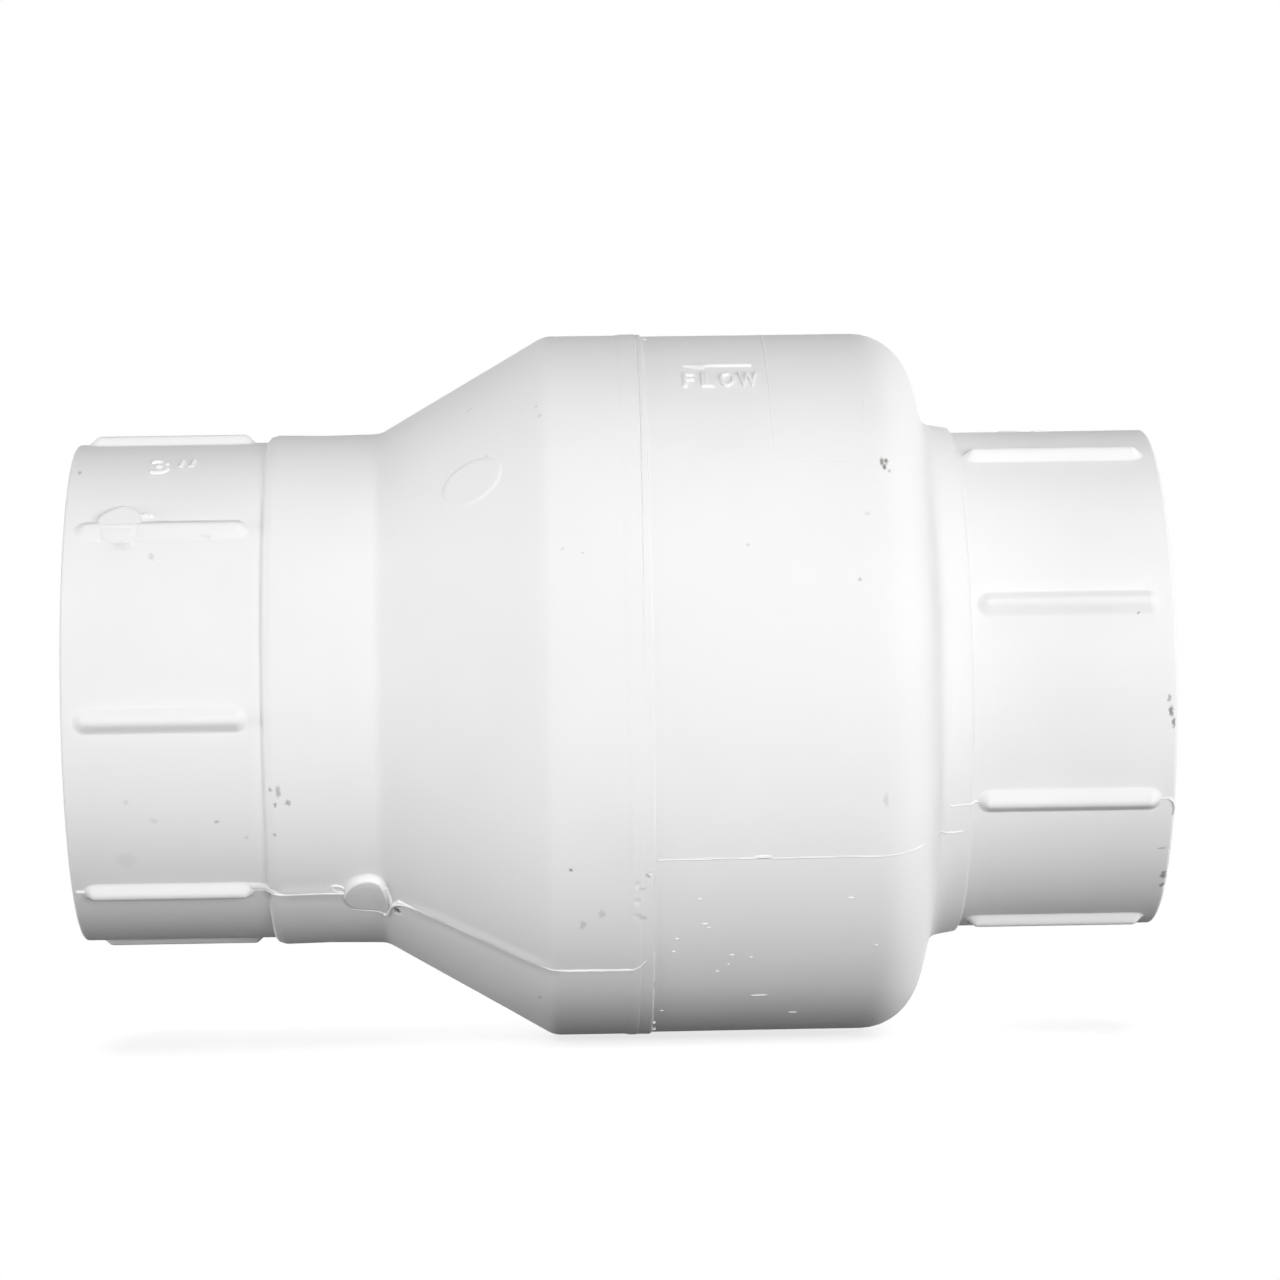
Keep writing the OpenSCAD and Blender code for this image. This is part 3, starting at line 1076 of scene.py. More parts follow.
@dataclass(frozen=True)
class Rib:
    """A grip rib with round ends, a narrow flat top and sides that slope gently down to it.

    Attributes:
        start: Where it starts along the pipe.
        end: Where it ends.
        turn: Its place around the pipe.
        width: Its width at the foot.
        height: Its height.
    """

    start: float
    end: float
    turn: float
    width: float = 4.4
    height: float = 1.75

    def shape(self, skin: Skin) -> Shape:
        """Lays the rib on a skin.

        Args:
            skin: The skin that carries it.

        Returns:
            Its corners and faces.
        """
        half = self.width / 2
        section = (
            (0.50, -0.20), (0.45, 0.0), (0.22, 0.04), (0.0, 0.12), (-0.38, 0.32), (-0.78, 0.54),
            (-1.16, 0.75), (-1.48, 0.89), (-1.76, 0.965), (-2.02, 1.0),
        )
        return mound([self._ring(skin, half + out, self.height * rise) for out, rise in section])

    def _ring(self, skin: Skin, reach: float, rise: float) -> np.ndarray:
        """Draws the outline at one height, with two round ends and two straight sides.

        Args:
            skin: The skin that carries the rib.
            reach: How far the outline lies from the rib's middle line.
            rise: How far it lies above the skin.

        Returns:
            The outline's points.
        """
        half = self.width / 2
        left, right = skin.run_to(self.start) + half, skin.run_to(self.end) - half
        tip = 6
        ends = np.radians(np.linspace(-90, 90, 2 * tip + 1))
        sides = np.linspace(0, 1, 9)[1:-1]
        runs = [right + reach * np.cos(ends), right + (left - right) * sides]
        laps = [reach * np.sin(ends), np.full(len(sides), reach)]
        runs += [left - reach * np.cos(ends), left + (right - left) * sides]
        laps += [-reach * np.sin(ends), np.full(len(sides), -reach)]
        run, lap = np.roll(np.concatenate(runs), -tip), np.roll(np.concatenate(laps), -tip)
        return skin.beside(run, self.turn, lap, rise)


@dataclass(frozen=True)
class Lump:
    """A low uneven lump, such as a trimmed gate or a spot of flash.

    Attributes:
        x: Its place along the pipe.
        turn: Its place around it.
        length: Its size along the pipe.
        breadth: Its size around it.
        height: Its height.
        seed: What sets its uneven outline.
        flat: How much of its top is flat.
        rough: How uneven its outline is.
        sides: How many sides its outline has.
    """

    x: float
    turn: float
    length: float
    breadth: float
    height: float
    seed: float = 0.0
    flat: float = 0.4
    rough: float = 0.12
    sides: int = 20

    def shape(self, skin: Skin) -> Shape:
        """Lays the lump on a skin.

        Args:
            skin: The skin that carries it.

        Returns:
            Its corners and faces.
        """
        angles = np.linspace(0, 2 * math.pi, self.sides, endpoint=False)
        edge = 1 + self.rough * ripple(angles * 1.3, self.seed + 1.0)
        shoulder = (1 + self.flat) / 2
        levels = ((1.05, -0.3), (1.0, 0.0), (shoulder, 0.75), (self.flat, 1.0), (self.flat * 0.5, 1.0))
        middle = skin.run_to(self.x)
        rings = []
        for share, rise in levels:
            run = middle + np.cos(angles) * edge * share * self.length / 2
            lap = np.sin(angles) * edge * share * self.breadth / 2
            lean = 1 + 0.15 * np.cos(angles + self.seed) if 0 < rise < 1 else 1.0
            rings.append(skin.beside(run, self.turn, lap, self.height * rise * lean))
        return mound(rings)


@dataclass(frozen=True)
class Pad:
    """A raised patch with its own outline and a slanting flat face, such as the stub of a trimmed gate.

    Attributes:
        outline: Rows of distance along the pipe and degrees below the front, at the foot.
        top: Its height where it lies highest around the pipe.
        low: Its height at the other side.
        bevel: How far its sides lean in.
        seed: What makes its face uneven.
        skirt: How far its foot spreads, as a share of the bevel.
        uneven: How far its face is from flat.
        dish: How far the face sinks inside its edge.
        parts: How many parts each side of the outline gets.
    """

    outline: tuple[tuple[float, float], ...]
    top: float
    low: float
    bevel: float = 0.7
    seed: float = 0.0
    skirt: float = 0.3
    uneven: float = 0.05
    dish: float = 0.08
    parts: int = 4

    def shape(self, skin: Skin) -> Shape:
        """Lays the pad on a skin.

        Args:
            skin: The skin that carries it.

        Returns:
            Its corners and faces.
        """
        corners = np.array(self.outline)
        radius = float(skin.radius(skin.run_to(corners[:, 0].mean())))
        flat = np.stack([skin.run_to(corners[:, 0]), np.radians(corners[:, 1]) * radius], axis=1)
        ring = self._smooth(flat, self.parts)
        middle = ring.mean(axis=0)
        reach = np.linalg.norm(ring - middle, axis=1, keepdims=True)
        laps = ring[:, 1]
        slant = (laps - laps.min()) / (laps.max() - laps.min())
        out = -self.skirt
        levels = (
            (1.2 * out - 0.1, -0.25), (out, 0.0), (0.55 * out, 0.07), (0.1 * out, 0.24), (0.2, 0.58),
            (0.5, 0.88), (0.75, 0.98), (1.0, 1.0),
        )
        rings = []
        for share, rise in levels:
            spot = middle + (ring - middle) * (1 - share * self.bevel / reach)
            height = (self.top + (self.low - self.top) * slant) * rise
            height = height + self.uneven * ripple(slant * 9, self.seed) * (rise > 0.5)
            rings.append(skin.point(spot[:, 0], np.degrees(spot[:, 1] / radius), height))
        for share in (0.6, 0.25):
            spot = middle + (ring - middle) * (1 - self.bevel / reach) * share
            across = (spot[:, 1] - laps.min()) / (laps.max() - laps.min())
            height = self.top + (self.low - self.top) * across
            rings.append(skin.point(spot[:, 0], np.degrees(spot[:, 1] / radius), height - self.dish))
        return mound(rings)

    @staticmethod
    def _smooth(ring: np.ndarray, parts: int) -> np.ndarray:
        """Draws a smooth closed curve through the corners of a ring.

        Args:
            ring: The corners.
            parts: How many parts each side gets.

        Returns:
            The curve's points.
        """
        before, after = np.roll(ring, 1, axis=0), np.roll(ring, -1, axis=0)
        beyond = np.roll(ring, -2, axis=0)
        spots = []
        for k in range(parts):
            t = k / parts
            spots.append(0.5 * (
                2 * ring + (after - before) * t
                + (2 * before - 5 * ring + 4 * after - beyond) * t ** 2
                + (3 * ring - before - 3 * after + beyond) * t ** 3
            ))
        return np.stack(spots, axis=1).reshape(-1, 2)


@dataclass(frozen=True)
class Lettering:
    """A plain raised word or figure, bent round a skin.

    Attributes:
        text: What it says.
        x: Where it starts along the pipe.
        turn: Where the middle of its height lies around the pipe.
        breadth: Its whole length.
        tall: The height of its capitals.
        raised: How far it stands out.
        weight: How much bolder its strokes are than with their round edges alone, as a share of the size.
        edge: How round its edges are, as a share of the size.
    """

    text: str
    x: float
    turn: float
    breadth: float
    tall: float
    raised: float = 0.5
    weight: float = -0.02
    edge: float = 0.055

    def shape(self, skin: Skin) -> Shape:
        """Lays the letters on a skin.

        Args:
            skin: The skin that carries them.

        Returns:
            Their corners and faces.
        """
        curve = bpy.data.curves.new("lettering", "FONT")
        curve.body = self.text
        curve.size = 1.0
        curve.resolution_u = 3
        curve.offset = self.weight
        curve.bevel_depth = self.edge
        curve.bevel_resolution = 2
        carrier = linked("lettering", curve)
        solid = carrier.evaluated_get(bpy.context.evaluated_depsgraph_get())
        mesh = bpy.data.meshes.new_from_object(solid)
        flat = np.array([v.co for v in mesh.vertices])
        faces = [tuple(p.vertices) for p in mesh.polygons]
        bpy.data.objects.remove(carrier)
        bpy.data.curves.remove(curve)
        bpy.data.meshes.remove(mesh)
        low, high = flat.min(axis=0), flat.max(axis=0)
        flat = (flat - low) / (high - low)
        run = skin.run_to(self.x) + flat[:, 0] * self.breadth
        lap = (0.5 - flat[:, 1]) * self.tall
        rise = (flat[:, 2] * 2.0 - 1.0) * self.raised
        return skin.beside(run, self.turn, lap, rise), faces


Mark = Bead | Rib | Lump | Pad | Lettering


# The body


def seat(piece: bpy.types.Object, body: str, slot: str, *nodes: str) -> None:
    """Makes a piece ride on a body and reports it.

    Args:
        piece: The piece, in place.
        body: The body that carries it.
        slot: Not used.
        *nodes: The nodes that the piece stands for.
    """
    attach(piece, body)
    if nodes:
        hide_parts(*nodes)
    LOG.info("%s: %d faces on %s", piece.name, len(piece.data.polygons), body)


def line_along(turn: float, start: float, end: float, sway: float, seed: float) -> np.ndarray:
    """Draws a parting line along the pipe.

    Args:
        turn: Its place around the pipe.
        start: Where it starts along the pipe.
        end: Where it ends.
        sway: How far it wanders, in degrees.
        seed: What sets the wandering.

    Returns:
        Rows of distance along the pipe and degrees below the front.
    """
    x = np.linspace(start, end, max(2, int(abs(end - start) / 0.8)))
    return np.stack([x, turn + sway * ripple(x * 0.35, seed)], axis=1)


def outlet_corners(v: ValveSizes) -> list[Corner]:
    """Draws the outside of the outlet half, from its mouth to the seam.

    Args:
        v: The valve's sizes.

    Returns:
        The outline's corners.
    """
    band_r = v.body_r + v.band_height
    groove_start, groove_bottom, groove_end = (v.seam_x - back for back in v.groove)
    return [
        Corner(0.0, (v.socket_r + v.socket_out_r) / 2, 0.0),
        Corner(0.0, v.socket_out_r, 0.7),
        Corner(v.neck_x, v.socket_out_r, 0.15),
        Corner(v.neck_x + 0.05, v.socket_out_r + 0.30, 0.3),
        Corner(v.neck_x + 0.55, v.neck_r - 0.45, 0.6),
        Corner(v.neck_x + 2.0, v.neck_r, 1.6),
        Corner(v.neck_x + 11.2, v.neck_r - v.neck_waist, 60.0),
        Corner(v.cone_x, v.neck_r, 4.5),
        Corner(v.drum_x, v.body_r, 5.0),
        Corner(v.seam_x - v.band_width - 1.2, v.body_r, 1.0),
        Corner(v.seam_x - v.band_width, band_r, 1.0),
        Corner(groove_start, band_r, 0.0),
        Corner(groove_bottom, band_r - 0.04, 0.0),
        Corner(groove_end, band_r - v.lip_drop, 0.1),
        Corner(v.seam_x, v.body_r + 0.14, 0.12),
        Corner(v.seam_x, v.lap_r + v.seam_ledge, 0.0),
    ]


def inlet_corners(v: ValveSizes) -> list[Corner]:
    """Draws the outside of the inlet half, from the seam to its mouth.

    Args:
        v: The valve's sizes.

    Returns:
        The outline's corners.
    """
    slope = math.radians(v.end_slope)
    drum_r = v.body_r - v.drum_taper
    corner_x = v.shoulder_x - v.end_shift + v.shoulder_round * math.tan((math.pi / 2 - slope) / 2)
    collar_x = corner_x + (drum_r - v.collar_r) * math.tan(slope)
    return [
        Corner(v.seam_x, v.lap_r + v.seam_ledge, 0.0),
        Corner(v.seam_x, v.body_r - 0.25, 0.15),
        Corner(v.seam_x + 21.6, drum_r, 60.0),
        Corner(corner_x, drum_r, v.shoulder_round),
        Corner(collar_x, v.collar_r + v.collar_rise, 3.4),
        Corner(v.barrel_x, v.collar_r - v.collar_fall, 1.1),
        Corner(v.barrel_x, v.socket_out_r, 0.5),
        Corner(v.length, v.socket_out_r, 0.7),
        Corner(v.length, (v.socket_r + v.socket_out_r) / 2, 0.0),
    ]


@dataclass
class BodyHalf:
    """What both halves of the body share: a turned shell and the raised marks on it.

    Attributes:
        finish: The plastic.
        skin: The outside, on which the marks lie.
        sizes: The sizes that other pieces share.
        rib_turn: Where the first rib lies around the pipe.
        rib_count: How many ribs there are.
        rib_inset: How far they end from both ends of the socket.
        parting_turn: Where the parting line lies around the pipe.
        flat_crease: The angle over which an edge of the shell stays sharp.
        skin_depth: How far below the outside's least radius a point still belongs to it.
        material: What the finish builds.
    """

    finish: MouldedShell
    skin: Skin
    sizes: ValveSizes = VALVE
    rib_turn: float = 28.4
    rib_count: int = 8
    rib_inset: tuple[float, float] = (1.5, 3.0)
    parting_turn: float = 28.4
    flat_crease: float = 32.0
    skin_depth: float = 2.0
    material: bpy.types.Material = field(init=False)

    def __post_init__(self) -> None:
        """Makes the half's material."""
        self.material = self.finish.build()

    def cover(self, name: str, node: str, shell: TurnedShell) -> None:
        """Makes the half's shell.

        Args:
            name: The piece's name.
            node: The node that it stands for.
            shell: Its form.
        """
        form = Form()
        form.add(*shell.shape())
        seat(form.build(name, self.material, self.flat_crease), BODY, SHELL_SLOT, node)

    def raise_marks(self, pieces: "dict[str, Sequence[Mark]]") -> None:
        """Makes pieces of marks that lie on the skin.

        Args:
            pieces: The marks of each piece, by its name.
        """
        for name, marks in pieces.items():
            form = Form()
            for mark in marks:
                form.add(*mark.shape(self.skin))
            seat(form.build(name, self.material), BODY, SHELL_SLOT)

    def ribs(self, start: float, end: float) -> list[Rib]:
        """Spaces the ribs round a socket.

        Args:
            start: Where the socket starts along the pipe.
            end: Where it ends.

        Returns:
            The ribs.
        """
        first, last = start + self.rib_inset[0], end - self.rib_inset[1]
        step = 360 / self.rib_count
        return [Rib(first, last, self.rib_turn + step * k) for k in range(self.rib_count)]


@dataclass
class OutletHalf(BodyHalf):
    """The left half: outlet socket, neck, cone and the first part of the drum."""

    rib_turn: float = 6.4
    rib_inset: tuple[float, float] = (2.6, 2.8)
    parting_turn: float = 51.0

    def inside(self) -> list[Corner]:
        """Draws the inside of the half, from the seam back to its mouth.

        Returns:
            The outline's corners.
        """
        v = self.sizes
        rise = math.tan(math.radians(v.cone_angle))
        drop = v.shell_wall / math.cos(math.radians(v.cone_angle))
        neck_in_r = v.neck_r - v.shell_wall
        cone_in_x = v.cone_x + (neck_in_r + drop - v.neck_r) / rise
        land_x = v.cone_x + (v.rim_in_r + drop - v.neck_r) / rise
        stop_x = v.socket_depth + v.stop_t
        return [
            Corner(v.seam_x, v.lap_r, 0.2),
            Corner(v.seam_x + v.lap_len, v.lap_r, 0.5),
            Corner(v.seam_x + v.lap_len, v.chamber_r, 0.2),
            Corner(v.drum_x, v.chamber_r, 0.2),
            Corner(v.drum_x, v.rim_in_r, 0.3),
            Corner(land_x, v.rim_in_r, 2.0),
            Corner(cone_in_x, neck_in_r, 5.0),
            Corner(stop_x, neck_in_r, 1.5),
            Corner(stop_x, v.port_r, 0.6),
            Corner(v.socket_depth, v.port_r, 0.6),
            Corner(v.socket_depth, v.socket_r, 0.4),
            Corner(0.0, v.socket_r, 0.7),
        ]

    def build(self) -> None:
        """Makes the shell and everything raised on it."""
        v = self.sizes
        outline = rounded([*outlet_corners(v)[:-1], *self.inside()], closed=True)
        groove = Groove(*(v.seam_x - back for back in v.groove), v.groove_depth, v.lap_r + v.seam_ledge)
        shell = TurnedShell(outline, v.neck_r - self.skin_depth, self.dents(), groove)
        self.cover("outlet_shell", "outlet_body", shell)
        self.raise_marks({
            "outlet_ribs": self.ribs(0.0, v.neck_x),
            "outlet_parting_lines": self.parting_lines(),
            "gate_stub": self.gate(),
            "rib_scar": self.rib_scar(),
            "size_mark": self.size_mark(),
        })

    def dents(self) -> tuple[Dent, ...]:
        """Places the round insert's mark, the pit beside the gate and the nicks in the band.

        Returns:
            The dents.
        """
        band = self.sizes.seam_x - self.sizes.band_width
        return (
            Dent(80.2, -39.3, 12.0, 11.2, -0.30, 0.88),
            Dent(64.0, 55.9, 2.0, 2.4, 0.5),
            Dent(band + 1.0, 32.7, 2.0, 2.4, 0.22),
            Dent(band + 1.0, 35.9, 2.4, 2.2, 0.20),
            Dent(band + 1.3, 38.9, 3.0, 1.6, 0.18),
            Dent(band + 3.4, 30.6, 1.6, 1.2, 0.2),
        )

    def parting_lines(self) -> list[Bead]:
        """Draws the flash on both sides, and the low swell that it stands on.

        Returns:
            The lines, which stop at the gate and before the seam.
        """
        v, turn = self.sizes, self.parting_turn
        end = v.seam_x - v.band_width
        beads = []
        for place, start, stop, width, first, last in (
            (turn, 0.8, 53.6, 0.8, 0.32, 0.46),
            (turn + 0.4, 64.2, end, 0.6, 0.36, 0.24),
            (turn + 180, 0.8, end, 0.5, 0.20, 0.20),
        ):
            path = line_along(place, start, stop, 0.12, place + start)
            height = np.linspace(first, last, len(path))
            rise = height + 0.05 * ripple(path[:, 0] * 0.6, place)
            beads.append(Bead(path, width, np.maximum(rise, 0.05)))
        for place, start, stop in ((turn, v.neck_x + 1.4, 54.5), (turn + 0.4, 64.4, 96.0)):
            path = line_along(place, start, stop, 0.12, place)
            fade = np.clip(np.sin(np.linspace(0.0, math.pi, len(path))) * 2.2, 0, 1)
            beads.append(Bead(path, 6.5, 0.02 + 0.30 * fade, section=Section.SWELL))
        tail = drawn((110.0, 51.3, 0.5, 0.2), (111.4, 50.6, 0.5, 0.15), (112.6, 49.2, 0.5, 0.05))
        web = drawn(
            (34.6, 50.2, 2.6, 0.6), (35.8, 50.2, 2.6, 0.5), (37.2, 50.3, 2.4, 0.45),
            (38.5, 50.5, 2.0, 0.6), (39.6, 50.7, 1.4, 0.35), (41.4, 50.9, 0.9, 0.25),
        )
        return [*beads, tail, web]

    def gate(self) -> list[Mark]:
        """Draws the stub of the trimmed gate, the curl beside it and its ragged ends.

        Returns:
            The marks.
        """
        stub = (
            (53.5, 51.4), (54.4, 48.6), (56.0, 46.4), (58.1, 45.4), (60.0, 45.8),
            (61.4, 47.3), (62.2, 50.4), (62.6, 54.6), (61.8, 58.4), (60.0, 58.0),
            (57.4, 57.7), (55.1, 56.9), (53.9, 54.2),
        )
        angle = np.linspace(0, 2 * math.pi, 16, endpoint=False)
        loop = np.stack([52.4 + 1.25 * np.cos(angle), 49.5 + 1.05 * np.sin(angle + 0.4)], axis=1)
        return [
            Pad(stub, 1.35, 0.12, 0.5, skirt=1.3),
            drawn(
                (62.6, 57.0, 0.5, 0.3), (63.0, 54.6, 0.9, 0.7), (63.8, 52.9, 1.2, 0.8),
                (64.9, 52.0, 1.3, 0.6), (66.6, 51.8, 1.1, 0.3), (69.0, 51.6, 0.9, 0.2),
                (72.0, 51.4, 0.6, 0.1),
            ),
            drawn(
                (54.9, 57.7, 0.3, 0.06), (57.2, 58.3, 0.6, 0.16),
                (59.8, 58.6, 0.6, 0.16), (61.2, 59.4, 0.4, 0.1),
            ),
            drawn(
                (61.9, 48.6, 0.8, 0.55), (62.6, 51.6, 0.8, 0.55),
                (62.9, 55.0, 0.8, 0.55), (61.9, 59.4, 0.8, 0.55),
            ),
            Bead(loop, 0.5, 0.34, closed=True),
            Lump(61.7, 59.6, 1.3, 1.2, 0.4, 4.0, 0.3, 0.30),
        ]

    def size_mark(self) -> list[Mark]:
        """Draws the raised figure of the pipe size and the two strokes of its inch mark.

        Returns:
            The marks.
        """
        strokes = [
            drawn((x + 0.5, -65.6, 1.15, 0.45), (x + 0.25, -63.8, 1.15, 0.45), (x, -62.2, 1.15, 0.3))
            for x in (21.9, 24.1)
        ]
        return [Lettering("3", 16.0, -62.5, 3.9, 6.3, 0.42, -0.03), *strokes]

    def rib_scar(self) -> list[Mark]:
        """Draws the spread plastic where a gate was broken off one rib.

        Returns:
            The marks.
        """
        mound_outline = (
            (6.6, -39.7), (6.9, -42.0), (9.2, -44.2), (12.0, -45.4), (14.4, -44.2), (15.3, -41.6),
            (15.2, -38.4), (14.0, -36.2), (11.2, -34.7), (8.6, -35.4), (7.0, -37.4),
        )
        fringe = drawn(
            (8.0, -35.6, 1.6, 0.2), (9.6, -35.0, 1.6, 0.5), (11.2, -34.4, 1.6, 0.55),
            (12.8, -34.8, 1.6, 0.5), (14.2, -35.8, 1.6, 0.2),
        )
        return [
            Pad(mound_outline, 1.60, 1.78, 1.1, 2.0),
            Lump(16.0, -43.4, 2.2, 1.2, 0.5, 6.0, 0.3, 0.25),
            Lump(17.0, -42.9, 1.4, 0.9, 0.6, 2.0, 0.3, 0.25),
            Bead(line_along(-38.1, 5.2, 15.4, 0.2, 3.0), 0.35, 1.86),
            fringe,
        ]


@dataclass
class InletHalf(BodyHalf):
    """The right half: the rest of the drum, the round shoulder, the seat and the inlet socket."""

    def inside(self) -> list[Corner]:
        """Draws the inside of the half, from its mouth back to the seam.

        Returns:
            The outline's corners.
        """
        v = self.sizes
        inner = v.shoulder_round - v.shell_wall
        slope = math.radians(v.face_slope)
        wall_r = v.body_r - v.drum_taper - v.shell_wall
        corner_x = v.shoulder_x + inner * math.tan((math.pi / 2 - slope) / 2)
        seat_out_r = v.port_r + 2.5
        foot_r = seat_out_r + 5.0
        lap_end_x = v.seam_x + v.lap_len + 0.1
        return [
            Corner(v.length, v.socket_r, 0.7),
            Corner(v.inlet_stop_x, v.socket_r, 0.4),
            Corner(v.inlet_stop_x, v.port_r, 0.6),
            Corner(v.seat_x, v.port_r, 0.3),
            Corner(v.seat_x, seat_out_r, 0.3),
            Corner(corner_x + (wall_r - foot_r) * math.tan(slope), foot_r, 1.5),
            Corner(corner_x, wall_r, inner),
            Corner(lap_end_x, wall_r, 0.2),
            Corner(lap_end_x, v.lap_r + 0.05, 0.2),
            Corner(v.seam_x, v.lap_r + 0.05, 0.2),
        ]

    def build(self) -> None:
        """Makes the shell and everything raised on it."""
        v = self.sizes
        outline = rounded([*inlet_corners(v)[1:], *self.inside()], closed=True)
        shell = TurnedShell(outline, v.socket_out_r - self.skin_depth, self.dents())
        self.cover("inlet_shell", "inlet_body", shell)
        self.raise_marks({
            "inlet_ribs": self.ribs(v.barrel_x, v.length),
            "inlet_parting_lines": self.parting_lines(),
            "mould_insert_edges": self.insert_edges(),
            "flow_arrow": [self.arrow()],
            "flow_word": self.word(),
            "weld_flash": self.weld_flash(),
            "mould_nubs": self.nubs(),
        })

    def dents(self) -> tuple[Dent, ...]:
        """Places the nicks in the rim.

        Returns:
            The dents.
        """
        rim = self.sizes.length
        return (
            Dent(rim, 10.4, 1.8, 3.2, 0.45),
            Dent(rim, 51.2, 2.4, 2.6, 0.55),
            Dent(rim, 56.4, 1.8, 2.0, 0.4),
            Dent(rim, 43.0, 2.2, 1.0, 0.3),
            Dent(rim, -8.0, 1.4, 1.6, 0.25),
        )

    def parting_lines(self) -> list[Bead]:
        """Draws the flash on both sides.

        Returns:
            The lines. The shoulder's and the socket's pass by each other at the collar.
        """
        v, turn = self.sizes, self.parting_turn
        beads = []
        for place, start, stop, width, height in (
            (turn, v.seam_x + 0.8, 166.0, 0.42, 0.14),
            (turn, 172.4, v.length - 0.6, 0.45, 0.20),
            (turn + 180, v.seam_x + 0.8, v.length - 0.6, 0.5, 0.18),
        ):
            path = line_along(place, start, stop, 0.10, place + start)
            rise = height + 0.06 * ripple(path[:, 0] * 0.7, place + start)
            beads.append(Bead(path, width, np.maximum(rise, 0.05)))
        beads.append(drawn(
            (166.0, turn, 0.45, 0.12), (168.0, turn + 1.1, 0.45, 0.08),
            (169.3, turn + 2.7, 0.45, 0.07), (170.6, turn + 5.2, 0.45, 0.08),
            (171.8, turn + 6.6, 0.45, 0.16), (173.4, turn + 6.9, 0.45, 0.18),
            (175.2, turn + 6.8, 0.45, 0.12),
        ))
        for x, length, height in (
            (124.4, 2.2, 0.36), (129.6, 1.6, 0.30), (134.9, 3.4, 0.42),
            (149.2, 1.8, 0.28), (157.4, 1.4, 0.24),
        ):
            path = line_along(turn - 0.15, x - length / 2, x + length / 2, 0.15, x)
            fade = np.sin(np.linspace(0.15, math.pi - 0.15, len(path)))
            beads.append(Bead(path, 0.5 + 0.5 * fade, height * fade))
        beads.append(drawn(
            (215.4, turn + 0.2, 0.5, 0.3), (216.0, turn + 0.5, 0.5, 0.5),
            (216.3, turn + 2.2, 0.5, 0.55), (216.3, turn + 4.4, 0.5, 0.2),
        ))
        return beads

    def insert_edges(self) -> list[Bead]:
        """Draws the faint edges that a rectangular mould insert leaves on the drum.

        Returns:
            The lines.
        """
        turns = np.linspace(-86, -39, 60)
        left = np.stack([138.8 - 0.3 * np.sin((turns + 86) / 47 * math.pi), turns], axis=1)
        x = np.linspace(139.4, 155.2, 24)
        foot = np.stack([x, np.full(len(x), -37.3)], axis=1)
        up = np.linspace(-37.8, -52.0, 24)
        right = np.stack([155.4 - 0.12 * (up + 37.8), up], axis=1)
        return [Bead(left, 0.4, 0.11), Bead(foot, 0.35, 0.05), Bead(right, 0.35, 0.05)]

    def arrow(self) -> Bead:
        """Draws the arrow that points the way the liquid flows.

        Returns:
            The arrow.
        """
        turn = -62.0
        return drawn(
            (121.9, turn, 0.3, 0.2), (122.5, turn, 1.0, 0.36), (123.6, turn, 2.0, 0.4),
            (125.2, turn, 3.1, 0.4), (126.0, turn, 3.3, 0.4), (126.4, turn, 1.0, 0.4),
            (130.0, turn, 1.0, 0.4), (135.5, turn, 1.0, 0.4),
        )

    def word(self) -> list[Lettering]:
        """Returns the four letters that name what the arrow shows."""
        letters = (("F", 121.7, 2.3), ("L", 125.3, 2.6), ("O", 128.9, 3.1), ("W", 132.5, 4.0))
        return [Lettering(letter, x, -57.0, breadth, 5.6) for letter, x, breadth in letters]

    def weld_flash(self) -> list[Mark]:
        """Draws the torn line of plastic that the spin weld pushed out, and its crumbs.

        Returns:
            The marks.
        """
        turns = np.linspace(0, 360, 900, endpoint=False)
        below = 0.5 + 0.5 * np.sin(np.radians(turns))
        sway = (0.02 + 0.06 * below) * ripple(turns * 0.11, 1.0)
        height = 0.05 + 0.43 * below ** 2 + (0.01 + 0.15 * below) * ripple(turns * 0.45, 4.0)
        path = np.stack([self.sizes.seam_x + 0.02 + sway, turns], axis=1)
        crumbs = ((114.7, 77.4, 1.0, 0.5), (114.6, 72.2, 0.8, 0.4), (115.0, -78.0, 0.8, 0.2))
        return [
            Bead(path, 0.40, np.clip(height, 0.03, 0.62), closed=True),
            *(Lump(x, turn, size, size, tall, x + turn, 0.3, 0.3) for x, turn, size, tall in crumbs),
        ]

    def nubs(self) -> list[Lump]:
        """Scatters the specks of plastic on the drum and on top of the socket.

        Returns:
            The specks.
        """
        spots = (
            (122.8, 35.8, 0.8), (123.9, 41.0, 1.3), (124.6, 41.8, 0.7), (118.5, 44.2, 0.7),
            (117.9, 47.2, 0.8), (129.3, 48.3, 1.1), (128.7, 50.7, 0.6), (151.9, 36.1, 1.1),
            (157.2, 46.5, 0.7), (135.2, 60.4, 3.4), (142.1, 67.9, 2.0), (116.0, 66.0, 0.7),
            (126.5, 52.6, 0.8), (133.0, 49.0, 0.6),
        )
        return [
            *(Lump(x, turn, size, 0.38, 0.16, x, 0.4, 0.2) for x, turn, size in spots),
            Lump(189.8, -86.2, 5.2, 1.3, 0.24, 3.0, 0.5, 0.3),
            Lump(195.2, -84.6, 3.0, 0.9, 0.2, 5.0, 0.5, 0.3),
        ]


# The inner pieces


